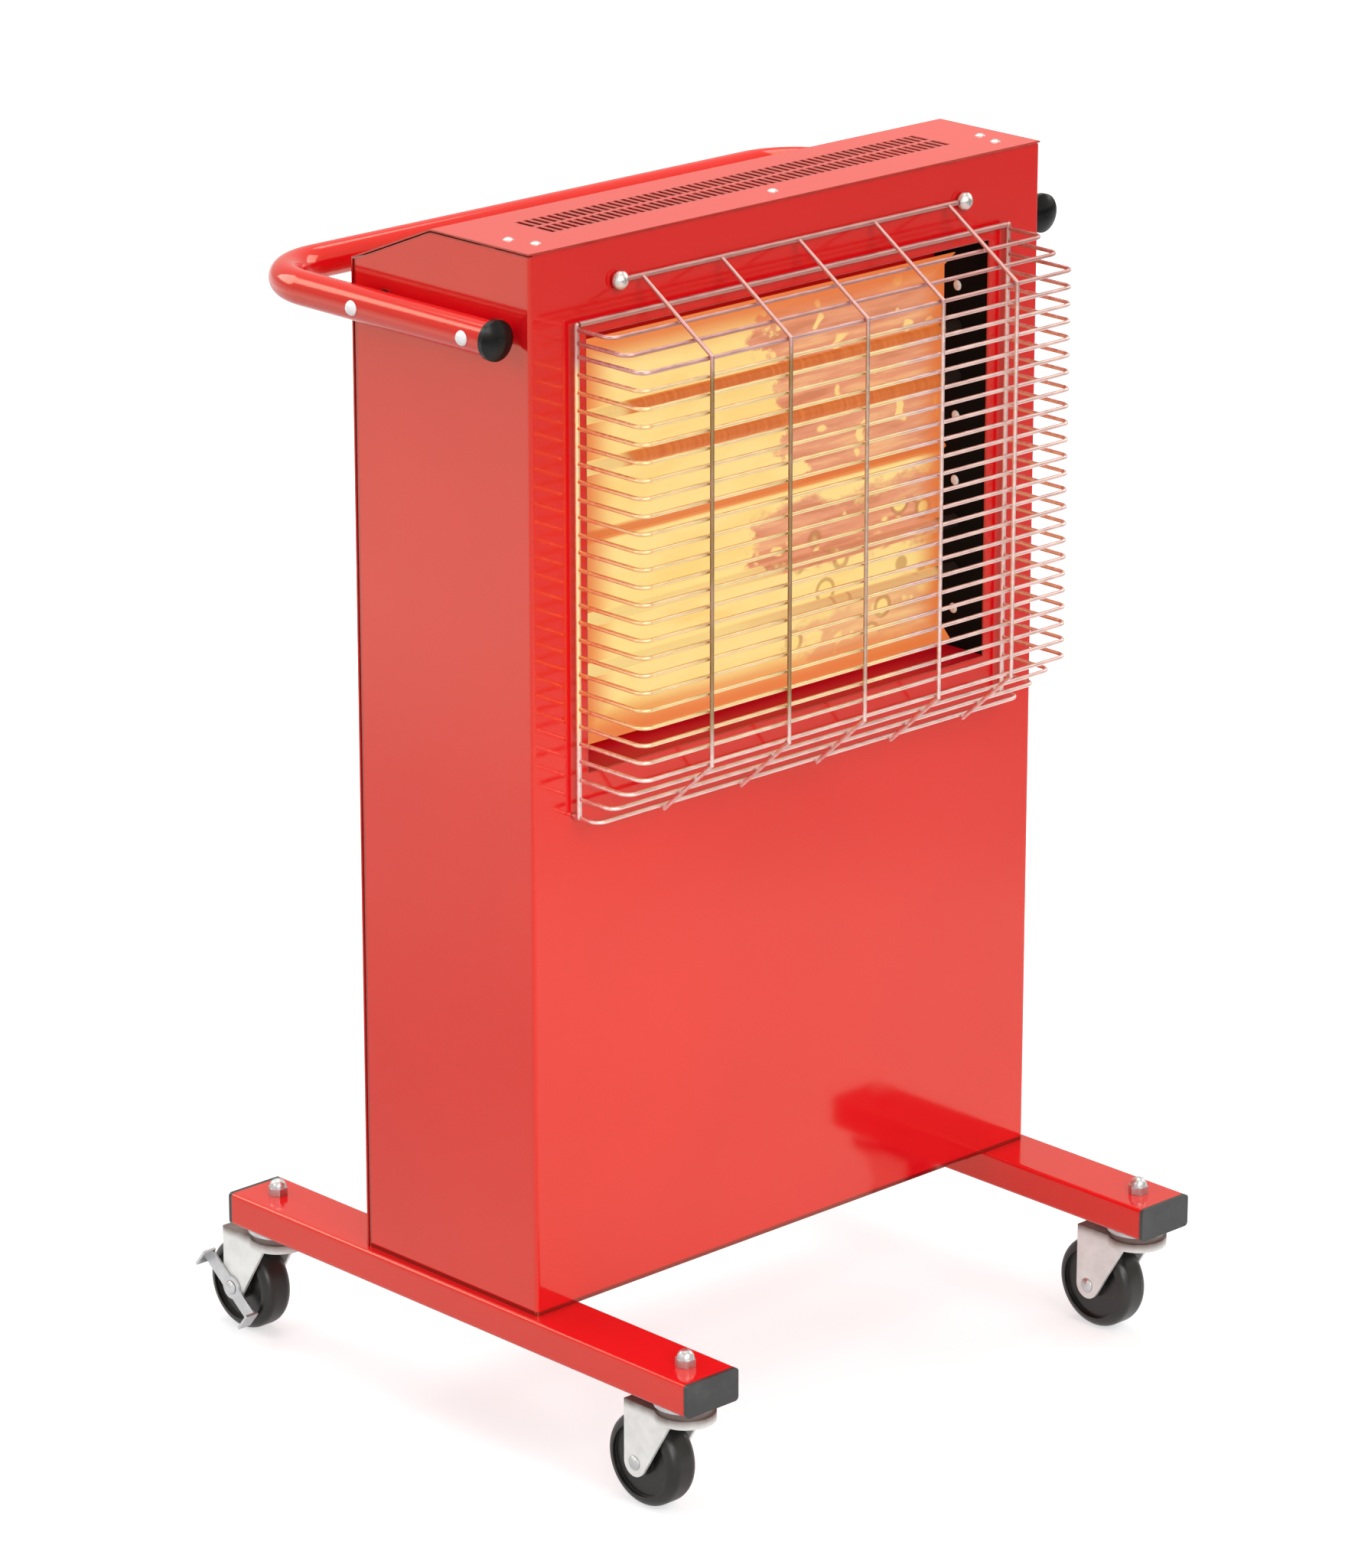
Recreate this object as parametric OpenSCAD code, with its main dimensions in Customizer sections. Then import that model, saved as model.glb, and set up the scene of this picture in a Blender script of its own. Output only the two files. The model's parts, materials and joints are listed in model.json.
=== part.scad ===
// Portable halogen infrared heater: a red sheet steel cabinet with a guarded lamp window,
// standing on two box legs with swivel castors. Millimetres, front towards -Y, floor at z = 0.

/* [Cabinet] */
// Width of the cabinet
cab_w = 500; // [440:5:600]
// Depth of the cabinet
cab_d = 184; // [160:2:240]
// Height of the cabinet front above the legs
cab_h = 775; // [700:5:900]
// Depth of the flat part of the top, from the front to the ridge
top_flat = 101; // [95:1:130]
// Drop of the top from the ridge to the rear edge
rear_drop = 34; // [10:1:50]
// Thickness of the cabinet sheet
sheet = 1.2; // [0.8:0.1:1.5]
// Outer bend radius of the cabinet's upright corners
bend_r = 3; // [2:0.5:5]
// Open seam between the side walls and the top cover
seam = 1; // [0.4:0.1:1.2]
// Width of the folded flanges that the panels screw to
flange = 18; // [15:1:24]
// Distance of the front cover screws behind the front edge
cover_screw_y = 21; // [12:1:24]
// Distance of the side cover screws behind the front edge
side_screw_y = 42; // [40:1:60]

/* [Lamp window] */
// Margin from the cabinet side to the window
window_margin = 52; // [50:1:70]
// Height of the window
window_h = 314; // [260:2:360]
// Distance from the cabinet top down to the window
window_drop = 65; // [60:1:90]
// Depth of the lamp tray behind the front
tray_d = 57; // [52:1:70]
// Distance from the front to the reflector back
reflector_d = 45; // [40:1:48]
// Thickness of the reflector sheet
reflector_t = 0.8; // [0.5:0.1:1.2]
// Height of the folded lips at the top and bottom of the reflector pair
outer_lip = 11; // [6:0.5:14]
// Height of the folded lips where the two reflectors meet
inner_lip = 4; // [2:0.5:8]
// Gap kept between the reflector pair and the tray, above and below
reflector_gap = 5; // [2:0.5:12]

/* [Lamps] */
// Radius of a lamp tube
lamp_r = 5; // [4:0.25:6]
// Distance from the front to the lamp axes
lamp_d = 32; // [28:1:34]
// Distance between the two lamps of a pair
lamp_pitch = 37; // [28:1:50]
// Depth of the lamps' middle below the window's middle
lamp_sink = 5; // [2:0.5:8]
// Side of a square ceramic lamp holder
holder_s = 22; // [18:1:26]
// Length of a ceramic lamp holder
holder_l = 14; // [10:1:16]
// Radius of a lamp end cap
lamp_cap_r = 7; // [6:0.25:8]
// Length of a lamp end cap
lamp_cap_l = 12; // [8:1:14]
// Distance between the two end plate screws of a reflector
plate_screw_pitch = 98; // [80:1:110]

/* [Guard] */
// Distance from the front panel to the axis of the front guard wires
guard_d = 71; // [60:1:90]
// Radius of the guard wires
wire_r = 1.5; // [1.2:0.1:2]
// Radius of the guard's frame bars and screwed bar
bar_r = 2; // [1.6:0.1:2.5]
// Greatest distance between neighbouring front wires
wire_pitch = 12.7; // [10:0.1:18]
// Reach of the guard beyond the window on each side
guard_reach = 14; // [10:1:24]
// Bend radius of the guard wires
wire_bend = 8; // [5:0.5:12]
// Height of the lowest front wire above the window's lower edge
guard_lift = 13; // [2:1:16]
// Distance of the highest front wire below the window's upper edge
guard_dip = 11.5; // [4:0.5:14]
// Distance between neighbouring wires on the guard's upper slope
roof_pitch = 18; // [14:0.5:20]
// Distance from the front panel to the axis of the guard's frame bars
frame_d = 5.5; // [5:0.5:8]
// Height of the frame's top bar above the window
frame_rise = 10.5; // [9:0.5:14]
// Height of the guard's screwed bar above the window
guard_bar_rise = 34; // [28:1:40]
// Drop of the guard's lower slope
guard_tail_drop = 42; // [26:1:50]
// Distance from the front panel to the lowest guard wire
guard_tail_d = 24; // [16:1:34]
// Number of cross wires on the lower slope
tail_wires = 3; // [2:1:5]
// Distance between neighbouring uprights
upright_pitch = 75; // [60:1:80]
// Number of uprights
upright_count = 5; // [3:2:5]
// Distance of each guard screw from the middle
guard_screw_x = 169; // [162:1:180]

/* [Handle] */
// Radius of the handle tube
handle_r = 12.5; // [10:0.5:15]
// Wall of the handle tube
handle_wall = 1.5; // [1:0.25:2.5]
// Clear distance from the cabinet side to the handle tube
handle_gap = 5.5; // [4:0.5:15]
// Distance from the cabinet back to the axis of the rear bar
handle_reach = 84; // [70:1:110]
// Bend radius of the handle tube, on its axis
handle_bend = 55; // [45:1:65]
// Depth of the handle axis below the cabinet top
handle_drop = 59; // [50:1:80]
// Distance between the two handle bolts of a side
handle_bolt_pitch = 114; // [90:1:120]
// Radius of the handle bolts
handle_bolt_r = 4; // [3:0.5:5]
// Wall of the handle end caps
handle_cap_wall = 2; // [1.5:0.25:4]
// Length of the handle end caps
handle_cap_l = 8; // [7:0.5:12]
// Distance of the handle tube's ends behind the front panel
handle_set_back = 13; // [8:1:20]

/* [Legs] */
// Width of a leg tube
leg_w = 50; // [44:1:60]
// Height of a leg tube
leg_h = 25; // [22:1:40]
// Wall of a leg tube
leg_wall = 2; // [1.5:0.25:3]
// Outer corner radius of a leg tube
leg_round = 3; // [2:0.5:5]
// Length of a leg with its end caps
leg_len = 495; // [460:5:600]
// Reach of a leg beyond the cabinet side
leg_out = 8; // [2:1:14]
// Forward offset of the leg middle from the cabinet middle
leg_forward = 7; // [0:1:20]
// Thickness of the leg end cap's outer plate
leg_cap_t = 3; // [2:0.5:5]
// Length of the plug of a leg end cap
leg_plug = 10; // [6:1:12]
// Distance between the two bolts that hold the cabinet to a leg
leg_bolt_pitch = 120; // [100:1:130]
// Radius of the leg bolts
leg_bolt_r = 3; // [2.5:0.5:4]

/* [Castors] */
// Height of a castor from the floor to the leg
castor_h = 90; // [88:1:112]
// Distance of a castor stem from the leg end
castor_inset = 27.5; // [24:0.5:40]
// Trail of the wheel axle behind the stem
trail = 34; // [30:1:38]
// Radius of the wheel
wheel_r = 35; // [30:0.5:36]
// Width of the wheel tread
wheel_w = 26; // [20:1:27]
// Radius of the wheel's rounded shoulders
shoulder_r = 8; // [4:0.5:9]
// Radius of the stem bolt
stem_r = 4; // [3:0.5:5]
// Radius of the kingpin that the fork turns on
kingpin_r = 6; // [5.5:0.5:8]
// Radius of the castor top plate
plate_r = 23; // [22:0.5:27]
// Thickness of the castor top plate
plate_t = 3; // [2:0.5:4]
// Radius of the swivel race on the fork
race_r = 20; // [18:0.5:22]
// Thickness of the fork sheet
fork_t = 2.5; // [2:0.25:3]
// Inner width of the fork
fork_gap = 30; // [30:0.5:34]
// Radius of the fork tip round the axle
fork_tip_r = 10.5; // [9:0.5:12]
// Radius of the axle
axle_r = 4; // [3:0.5:5]
// Radius of the axle heads
axle_head_r = 5.5; // [5.5:0.5:7]
// Thickness of the brake lever sheet
lever_t = 2; // [1.5:0.25:3]
// Length of the front arm of the brake lever
lever_front = 31; // [26:1:36]
// Length of the rear arm of the brake lever
lever_rear = 32; // [26:1:36]
// Tilt of the brake lever at rest, rear end up
lever_tilt = 38; // [24:1:44]
// Width of the brake lever arm
lever_w = 12; // [10:1:14]
// Outward reach of the brake lever's foot pads
pad_reach = 9; // [6:1:18]

/* [Rear controls] */
// Width of the switch plate
switch_plate_w = 64; // [60:1:90]
// Height of the switch plate
switch_plate_h = 48; // [44:1:70]
// Depth of the switch plate below the cabinet top
switch_drop = 290; // [250:5:400]
// Distance between the two rocker switches
rocker_pitch = 28; // [24:1:30]
// Width of a rocker
rocker_w = 11; // [9:0.5:12]
// Half height of a rocker
rocker_half = 11.5; // [9:0.5:12]
// Tilt of a rocker either way
rocker_tilt = 10; // [6:1:12]
// Bore radius of the cord gland
gland_bore_r = 4.75; // [3.5:0.25:5.5]
// Height of the cord gland above the base
gland_rise = 60; // [40:1:120]

/* [Hidden] */
$fn = 48;

// Clearances: standing gap, running fit of pins, hole round a fastener
gap = 0.3;
run_fit = 0.05;
hole_fit = 0.2;

// Colours
red = "#d8232a";
dark_red = "#a3161d";
black = "#1c1c1e";
zinc = "#b8babd";
chrome = "#d6d2d0";
mirror_metal = "#f2cf78";
quartz = "#c8742f";
ceramic = "#e9e4d8";

// Levels and places of the legs and cabinet
axle_z = wheel_r;
leg_z0 = castor_h;
cab_z0 = castor_h + leg_h;
cab_z1 = cab_z0 + cab_h;
plate_front = max(0, plate_r - castor_inset);
total_d = plate_front + leg_len - castor_inset + trail + wheel_r;
leg_y0 = plate_front - total_d / 2;
leg_y1 = leg_y0 + leg_len;
cab_yc = (leg_y0 + leg_y1) / 2 + leg_forward;
cab_y0 = cab_yc - cab_d / 2;
cab_y1 = cab_yc + cab_d / 2;
leg_x = cab_w / 2 + leg_out - leg_w / 2;
side_in = cab_w / 2 - sheet;

// Top profile
ridge_y = cab_y0 + top_flat;
top_slope = atan(rear_drop / (cab_d - top_flat));
slope_t = sheet / cos(top_slope);
cover_under = cab_z1 - sheet;
function roof_under(y) = cab_z1 - slope_t - (y - ridge_y) * tan(top_slope);
rear_top = roof_under(cab_y1) - hole_fit;

// Window, tray and lamps
window_w = cab_w - 2 * window_margin;
win_z1 = cab_z1 - window_drop;
win_z0 = win_z1 - window_h;
plate_in = window_w / 2 + 1;
plate_out = plate_in + sheet;
mid_z = (win_z0 + win_z1) / 2 - lamp_sink;
reflector_h = (window_h - 2 * lamp_sink - 2 * reflector_gap) / 2;
pair_z = [mid_z - reflector_h / 2, mid_z + reflector_h / 2];
lamp_z = [for (p = pair_z) for (s = [-1, 1]) p + s * lamp_pitch / 2];
plate_screw_z = [for (p = pair_z) for (s = [-1, 1]) p + s * plate_screw_pitch / 2];
lamp_y = cab_y0 + lamp_d;
lamp_end = plate_out + holder_l;
trunk_x = lamp_end + lamp_cap_l + 3;

// Screw sizes
screw_r = 2;
screw_head_r = 4;
screw_head_h = 2.4;
cover_screw_side = 25;
cover_screw_x = cab_w / 2 - cover_screw_side;
screw_margin = 8;
cover_screw_at = concat(
    [for (x = [-1, 0, 1]) [x * cover_screw_x, cab_y0 + cover_screw_y]],
    [for (x = [-1, 1]) [x * (side_in - flange), cab_y0 + side_screw_y]]
);
rear_screw_end = 45;
rear_screw_step = (rear_top - cab_z0 - 2 * rear_screw_end) / 3;
rear_screw_z = [for (i = [0:3]) cab_z0 + rear_screw_end + i * rear_screw_step];
rear_screw_x = cab_w / 2 - flange / 2;
cover_tail = 20;
tail_screw_z = rear_top - cover_tail / 2;

// Guard levels as distance from the panel and height
guard_w = window_w + 2 * guard_reach;
front_z0 = win_z0 + guard_lift;
front_z1 = win_z1 - guard_dip;
front_count = ceil((front_z1 - front_z0) / wire_pitch);
top_bar_d = bar_r + gap;
top_bar_z = win_z1 + guard_bar_rise;
weld = 2 * wire_r + gap;
roof_foot = [top_bar_d, top_bar_z - weld];
front_levels = [for (i = [0:front_count]) [guard_d, front_z0 + i * (front_z1 - front_z0) / front_count]];
tail_end = [guard_tail_d, front_z0 - guard_tail_drop];
tail_levels = [for (i = [1:tail_wires]) along([guard_d, front_z0], tail_end, i / tail_wires)];
roof_len = norm(roof_foot - [guard_d, front_z1]);
roof_levels = [for (i = [1, 2]) along([guard_d, front_z1], roof_foot, i * roof_pitch / roof_len)];
guard_levels = concat(front_levels, tail_levels, roof_levels);
frame_z0 = tail_end[1] - wire_r + bar_r;
frame_z1 = win_z1 + frame_rise;
hook_in = 6;

// Upright outline: top bar, upper corner, lower corner, tail
upright_d = guard_d + weld;
roof_out = outward([guard_d, front_z1], roof_foot);
tail_out = -outward([guard_d, front_z0], tail_end);
stay_top = [top_bar_d + bar_r + wire_r + gap, top_bar_z];
roof_lift = weld * roof_out;
tail_lift = weld * tail_out;
upper_corner = [upright_d, meet([guard_d, front_z1] + roof_lift, roof_foot + roof_lift, upright_d)];
lower_corner = [upright_d, meet([guard_d, front_z0] + tail_lift, tail_end + tail_lift, upright_d)];
stay_foot = tail_end + tail_lift;

// Handle
handle_x = cab_w / 2 + handle_gap + handle_r;
handle_y = cab_y1 + handle_reach;
handle_z = cab_z1 - handle_drop;
handle_end_y = cab_y0 + handle_set_back;
handle_cap_r = handle_r + handle_cap_wall;
handle_path = [
    [-handle_x, handle_end_y], [-handle_x, handle_y], [handle_x, handle_y], [handle_x, handle_end_y]
];
handle_bolt_y = [for (s = [-1, 1]) cab_yc + s * handle_bolt_pitch / 2];
bolt_head_r = 5.5;
bolt_head_h = 4;
nut_h = 5;

// Castors
castor_y = [leg_y0 + castor_inset, leg_y1 - castor_inset];
dome_nut_af = 13;
dome_nut_h = 6;
plate_z = castor_h - plate_t;
race_z1 = plate_z - gap;
crown_z1 = race_z1 - 5;
crown_z0 = crown_z1 - fork_t;
kingpin_head_r = kingpin_r + 3;
kingpin_head_h = 3;
fork_out = fork_gap / 2 + fork_t;
fork_front = -5;
crown_r = race_r + 2;
crown_drop = 4;
fork_rear = trail + fork_tip_r;
lever_in = fork_out + gap;
lever_out = lever_in + lever_t;
axle_head_h = 2.5;
hub_r = 9;
hub_half = fork_gap / 2 - gap;

// Rear controls
switch_z = cab_z1 - switch_drop;
switch_plate_t = 2.5;
rocker_y = cab_y1 + switch_plate_t - 6;
rocker_reach = 8;
rocker_sweep = norm([rocker_reach, rocker_half]) + gap;
rocker_pin_r = 1.5;
housing_w = rocker_w + 6;
housing_h = 2 * rocker_sweep + 4;
housing_back = rocker_y - rocker_sweep - 3;
gland_z = cab_z0 + gland_rise;
gland_thread_r = gland_bore_r + 3.25;
gland_af = 2 * gland_thread_r + 6;
gland_out = 22;
gland_in = 12;
locknut_t = 5;
base_top = cab_z0 + sheet;
block_w = 60;
loom_r = 2.5;
loom_z = base_top + 10;

// Point part of the way from a to b
function along(a, b, f) = a + f * (b - a);
// Unit normal on the left of the direction from b to a
function outward(a, b) = let (u = (a - b) / norm(a - b)) [-u[1], u[0]];
// Height at which the line through a and b reaches distance d
function meet(a, b, d) = a[1] + (b[1] - a[1]) * (d - a[0]) / (b[0] - a[0]);
function unit(v) = v / norm(v);
function corner_angle(k, a, b) = acos(unit(a - k) * unit(b - k));
// Distance from a corner to where its bend begins
function setback(k, a, b, br) = br / tan(corner_angle(k, a, b) / 2);

module block(lo, hi) {
    translate(lo)
        cube(hi - lo);
}

module rod_x(r, x0, x1) {
    translate([x0, 0, 0])
        rotate([0, 90, 0])
            cylinder(r = r, h = x1 - x0);
}

module rod_y(r, y0, y1) {
    translate([0, y0, 0])
        rotate([-90, 0, 0])
            cylinder(r = r, h = y1 - y0);
}

module rod_z(r, z0, z1) {
    translate([0, 0, z0])
        cylinder(r = r, h = z1 - z0);
}

// Copies of the children at the left and the right
module both_sides() {
    children();
    mirror([1, 0, 0])
        children();
}

// Rectangle with round corners, from its low corner
module round_rect(w, d, r) {
    translate([r, 0])
        square([w - 2 * r, d]);
    translate([0, r])
        square([w, d - 2 * r]);
    for (x = [r, w - r])
        for (y = [r, d - r])
            translate([x, y])
                circle(r = r);
}

// Hexagon bar along z, given across its flats
module hex_z(af, z0, z1) {
    translate([0, 0, z0])
        cylinder(r = af / 2 / cos(30), h = z1 - z0, $fn = 6);
}

// Straight wire in the xy plane
module wire_run(a, b, r) {
    translate([a[0], a[1], 0])
        rotate([0, 0, atan2(b[1] - a[1], b[0] - a[0])])
            rotate([0, 90, 0])
                cylinder(r = r, h = norm(b - a));
}

// Bend of a wire at corner k between a and b, in the xy plane
module wire_bend(k, a, b, br, r) {
    centre = k + unit(unit(a - k) + unit(b - k)) * br / sin(corner_angle(k, a, b) / 2);
    from_a = k + unit(a - k) * setback(k, a, b, br) - centre;
    from_b = k + unit(b - k) * setback(k, a, b, br) - centre;
    first = cross(from_a, from_b) > 0 ? from_a : from_b;
    translate([centre[0], centre[1], 0])
        rotate([0, 0, atan2(first[1], first[0])])
            rotate_extrude(angle = 180 - corner_angle(k, a, b))
                translate([br, 0])
                    circle(r = r);
}

// Plane of distance from the front panel and height, at a given x
module in_side_plane(x) {
    translate([x, cab_y0, 0])
        rotate([90, 0, -90])
            children();
}

// Section drawn in y and z, pushed through the width w
module across(w) {
    translate([-w / 2, 0, 0])
        rotate([90, 0, 90])
            linear_extrude(w)
                children();
}

// Folded sheet seen from above: front, sides and rear flanges
module wrap_plan() {
    difference() {
        translate([-cab_w / 2, cab_y0])
            round_rect(cab_w, cab_d - sheet, bend_r);
        translate([-side_in, cab_y0 + sheet])
            round_rect(2 * side_in, cab_d - 3 * sheet, bend_r - sheet);
        translate([flange - cab_w / 2, cab_y1 - 3 * sheet])
            square([cab_w - 2 * flange, 4 * sheet]);
    }
}

module cabinet_wrap() {
    wall_top = cover_under - seam;
    color(red)
    difference() {
        union() {
            intersection() {
                translate([0, 0, cab_z0])
                    linear_extrude(cab_h)
                        wrap_plan();
                across(cab_w)
                    polygon([
                        [cab_y0, cab_z0], [cab_y1, cab_z0],
                        [cab_y1, roof_under(cab_y1) - seam], [ridge_y, wall_top], [cab_y0, wall_top]
                    ]);
            }
            block([bend_r - cab_w / 2, cab_y0, cover_under - sheet - seam],
                [cab_w / 2 - bend_r, cab_y0 + cover_screw_y + screw_margin, cover_under]);
            both_sides()
                translate([side_in, cab_y0 + side_screw_y, cover_under])
                    block([-flange - screw_margin, -screw_margin, -sheet - seam],
                        [sheet / 2, screw_margin, -seam / 2]);
        }
        block([-window_w / 2, cab_y0 - 1, win_z0], [window_w / 2, cab_y0 + flange, win_z1]);
        both_sides() {
            for (y = handle_bolt_y)
                translate([0, y, handle_z])
                    rod_x(handle_bolt_r + hole_fit, side_in - 1, cab_w / 2 + 1);
            for (z = rear_screw_z)
                translate([rear_screw_x, 0, z])
                    rod_y(screw_r + hole_fit, cab_y1 - 4 * sheet, cab_y1);
            translate([guard_screw_x, 0, top_bar_z])
                rod_y(screw_r + hole_fit, cab_y0 - 1, cab_y0 + 2 * sheet);
            translate([guard_w / 2, 0, frame_z0])
                rod_y(bar_r + hole_fit, cab_y0 - 1, cab_y0 + 2 * sheet);
        }
        for (p = cover_screw_at)
            translate([p[0], p[1], 0])
                rod_z(screw_r + hole_fit, cover_under - 4 * sheet - seam, cab_z1);
    }
}

module top_cover() {
    vent_w = 4.2;
    vent_pitch = 7;
    vent_l = 17;
    vent_first = 37;
    vent_step = 21;
    vent_rows = [for (i = [0, 1]) cab_y0 + vent_first + i * vent_step];
    vent_count = floor((window_w - vent_w) / vent_pitch);
    tail_w = cab_w - 2 * flange - 2;
    color(red)
    difference() {
        union() {
            across(cab_w)
                polygon([
                    [cab_y0, cab_z1], [ridge_y, cab_z1], [cab_y1, cab_z1 - rear_drop],
                    [cab_y1, roof_under(cab_y1)],
                    [ridge_y - sheet * tan(top_slope / 2), cover_under], [cab_y0, cover_under]
                ]);
            across(tail_w)
                polygon([
                    [cab_y1 - 2 * sheet, roof_under(cab_y1 - 2 * sheet) + slope_t / 2],
                    [cab_y1 - sheet, roof_under(cab_y1 - sheet) + slope_t / 2],
                    [cab_y1 - sheet, rear_top - cover_tail], [cab_y1 - 2 * sheet, rear_top - cover_tail]
                ]);
        }
        for (y = vent_rows)
            for (i = [0:vent_count])
                translate([(i - vent_count / 2) * vent_pitch - vent_w / 2, y, cover_under - 1])
                    cube([vent_w, vent_l, sheet + 2]);
        for (p = cover_screw_at)
            translate([p[0], p[1], 0])
                rod_z(screw_r + hole_fit, cover_under - 1, cab_z1 + 1);
        both_sides()
            translate([rear_screw_x - flange, 0, tail_screw_z])
                rod_y(screw_r + hole_fit, cab_y1 - 4 * sheet, cab_y1);
    }
}

// Pan head screw along z, head above zero, thread below
module pan_screw(length) {
    difference() {
        rotate_extrude()
            intersection() {
                translate([0, -screw_head_r])
                    circle(r = screw_head_r * 1.42);
                square([screw_head_r, screw_head_h]);
            }
        cross_recess(screw_head_r, screw_head_h);
    }
    rod_z(screw_r, -length, 0.01);
}

// Cross for a driver, cut from the top of a head of radius r
module cross_recess(r, top) {
    arm = 1.1 * r;
    width = 0.3 * r;
    depth = 0.35 * r;
    for (turn = [0, 90])
        rotate([0, 0, turn])
            translate([-arm / 2, -width / 2, top - depth])
                cube([arm, width, r]);
}

module cover_screws() {
    color(zinc)
    for (p = cover_screw_at)
        translate([p[0], p[1], cab_z1])
            pan_screw(8);
}

module rear_panel() {
    color(red)
    difference() {
        block([-cab_w / 2, cab_y1 - sheet, cab_z0], [cab_w / 2, cab_y1, rear_top]);
        both_sides() {
            for (z = rear_screw_z)
                translate([rear_screw_x, 0, z])
                    rod_y(screw_r + hole_fit, cab_y1 - 2 * sheet, cab_y1 + 1);
            translate([rear_screw_x - flange, 0, tail_screw_z])
                rod_y(screw_r + hole_fit, cab_y1 - 2 * sheet, cab_y1 + 1);
        }
        for (s = [-1, 1])
            translate([s * rocker_pitch / 2, 0, switch_z])
                block([-housing_w / 2 - hole_fit, cab_y1 - 2 * sheet, -housing_h / 2 - hole_fit],
                    [housing_w / 2 + hole_fit, cab_y1 + 1, housing_h / 2 + hole_fit]);
        translate([0, 0, gland_z])
            rod_y(gland_thread_r + hole_fit, cab_y1 - 2 * sheet, cab_y1 + 1);
    }
}

module rear_screws() {
    color(zinc)
    both_sides() {
        for (z = rear_screw_z)
            translate([rear_screw_x, cab_y1, z])
                rotate([-90, 0, 0])
                    pan_screw(8);
        translate([rear_screw_x - flange, cab_y1, tail_screw_z])
            rotate([-90, 0, 0])
                pan_screw(8);
    }
}

module base_panel() {
    slot_w = 4;
    slot_pitch = 12;
    slot_l = 60;
    slot_count = 20;
    side_face = side_in - hole_fit;
    color(red)
    difference() {
        union() {
            translate([-side_face, cab_y0 + sheet + hole_fit, cab_z0])
                linear_extrude(sheet)
                    round_rect(2 * side_face, cab_d - 3 * sheet - 2 * hole_fit, bend_r);
            both_sides()
                block([side_face - sheet, cab_y0 + flange, cab_z0],
                    [side_face, cab_y1 - flange, cab_z0 + flange]);
        }
        for (i = [0:slot_count - 1])
            translate([(i - (slot_count - 1) / 2) * slot_pitch - slot_w / 2, cab_yc, cab_z0 - 1])
                cube([slot_w, slot_l, sheet + 2]);
        leg_bolt_places()
            rod_z(leg_bolt_r + hole_fit, cab_z0 - 1, cab_z0 + 2 * sheet);
    }
}

module lamp_tray() {
    back = cab_y0 + tray_d;
    front = cab_y0 + sheet;
    color(dark_red)
    across(2 * plate_out)
        polygon([
            [front, win_z0 - sheet], [back, win_z0 - sheet], [back, win_z1 + sheet],
            [front, win_z1 + sheet], [front, win_z1], [back - sheet, win_z1],
            [back - sheet, win_z0], [front, win_z0]
        ]);
}

module end_plate() {
    color(black)
    difference() {
        block([plate_in, cab_y0 + sheet, win_z0], [plate_out, cab_y0 + tray_d - sheet, win_z1]);
        for (z = lamp_z)
            translate([0, lamp_y, z])
                rod_x(lamp_r + gap, plate_in - 1, plate_out + 1);
        for (z = plate_screw_z)
            translate([0, lamp_y, z])
                rod_x(screw_r + hole_fit, plate_in - 1, plate_out + 1);
    }
}

module left_end_plate() {
    mirror([1, 0, 0])
        end_plate();
}

module right_end_plate() {
    end_plate();
}

module end_plate_screws() {
    color(zinc)
    both_sides()
        for (z = plate_screw_z)
            translate([plate_in, lamp_y, z])
                rotate([0, -90, 0])
                    pan_screw(6);
}

// Trough with folded lips, its middle at zero, lips of height up and down
module reflector(up, down) {
    back = cab_y0 + reflector_d;
    fold = reflector_t * tan(22.5);
    half = reflector_h / 2 - hole_fit;
    lap = reflector_t * sqrt(2);
    color(mirror_metal)
    across(2 * (plate_in - gap))
        polygon([
            [back - up, half], [back, half - up], [back, down - half], [back - down, -half],
            [back - down + lap, -half], [back + reflector_t, down - half - fold],
            [back + reflector_t, half - up + fold], [back - up + lap, half]
        ]);
}

module upper_reflector() {
    translate([0, 0, pair_z[1]])
        reflector(outer_lip, inner_lip);
}

module lower_reflector() {
    translate([0, 0, pair_z[0]])
        reflector(inner_lip, outer_lip);
}

module lamp(i) {
    color(quartz)
    translate([0, lamp_y, lamp_z[i]])
        rod_x(lamp_r, -lamp_end, lamp_end);
}

module lamp_end_caps() {
    color(zinc)
    both_sides()
        for (z = lamp_z)
            translate([0, lamp_y, z])
                rod_x(lamp_cap_r, lamp_end, lamp_end + lamp_cap_l);
}

module lamp_holders() {
    color(ceramic)
    both_sides()
        for (z = lamp_z)
            translate([0, lamp_y, z])
                difference() {
                    block([plate_out, -holder_s / 2, -holder_s / 2], [lamp_end, holder_s / 2, holder_s / 2]);
                    rod_x(lamp_r + gap, plate_out - 1, lamp_end + 1);
                }
}

// Front runs of the cross wires
module guard_cross_wires() {
    color(chrome)
    for (level = guard_levels)
        translate([0, cab_y0 - level[0], level[1]])
            rod_x(wire_r, wire_bend - guard_w / 2, guard_w / 2 - wire_bend);
}

// Side runs of the cross wires with their bends
module guard_side_wires() {
    seat = frame_d + bar_r + gap;
    color(chrome)
    both_sides()
        for (level = guard_levels)
            translate([0, cab_y0, level[1]])
                rotate([180, 0, 0]) {
                    corner = [guard_w / 2, level[0]];
                    wire_bend(corner, [0, level[0]], [guard_w / 2, 0], wire_bend, wire_r);
                    wire_run([guard_w / 2, seat], [guard_w / 2, level[0] - wire_bend], wire_r);
                }
}

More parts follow.
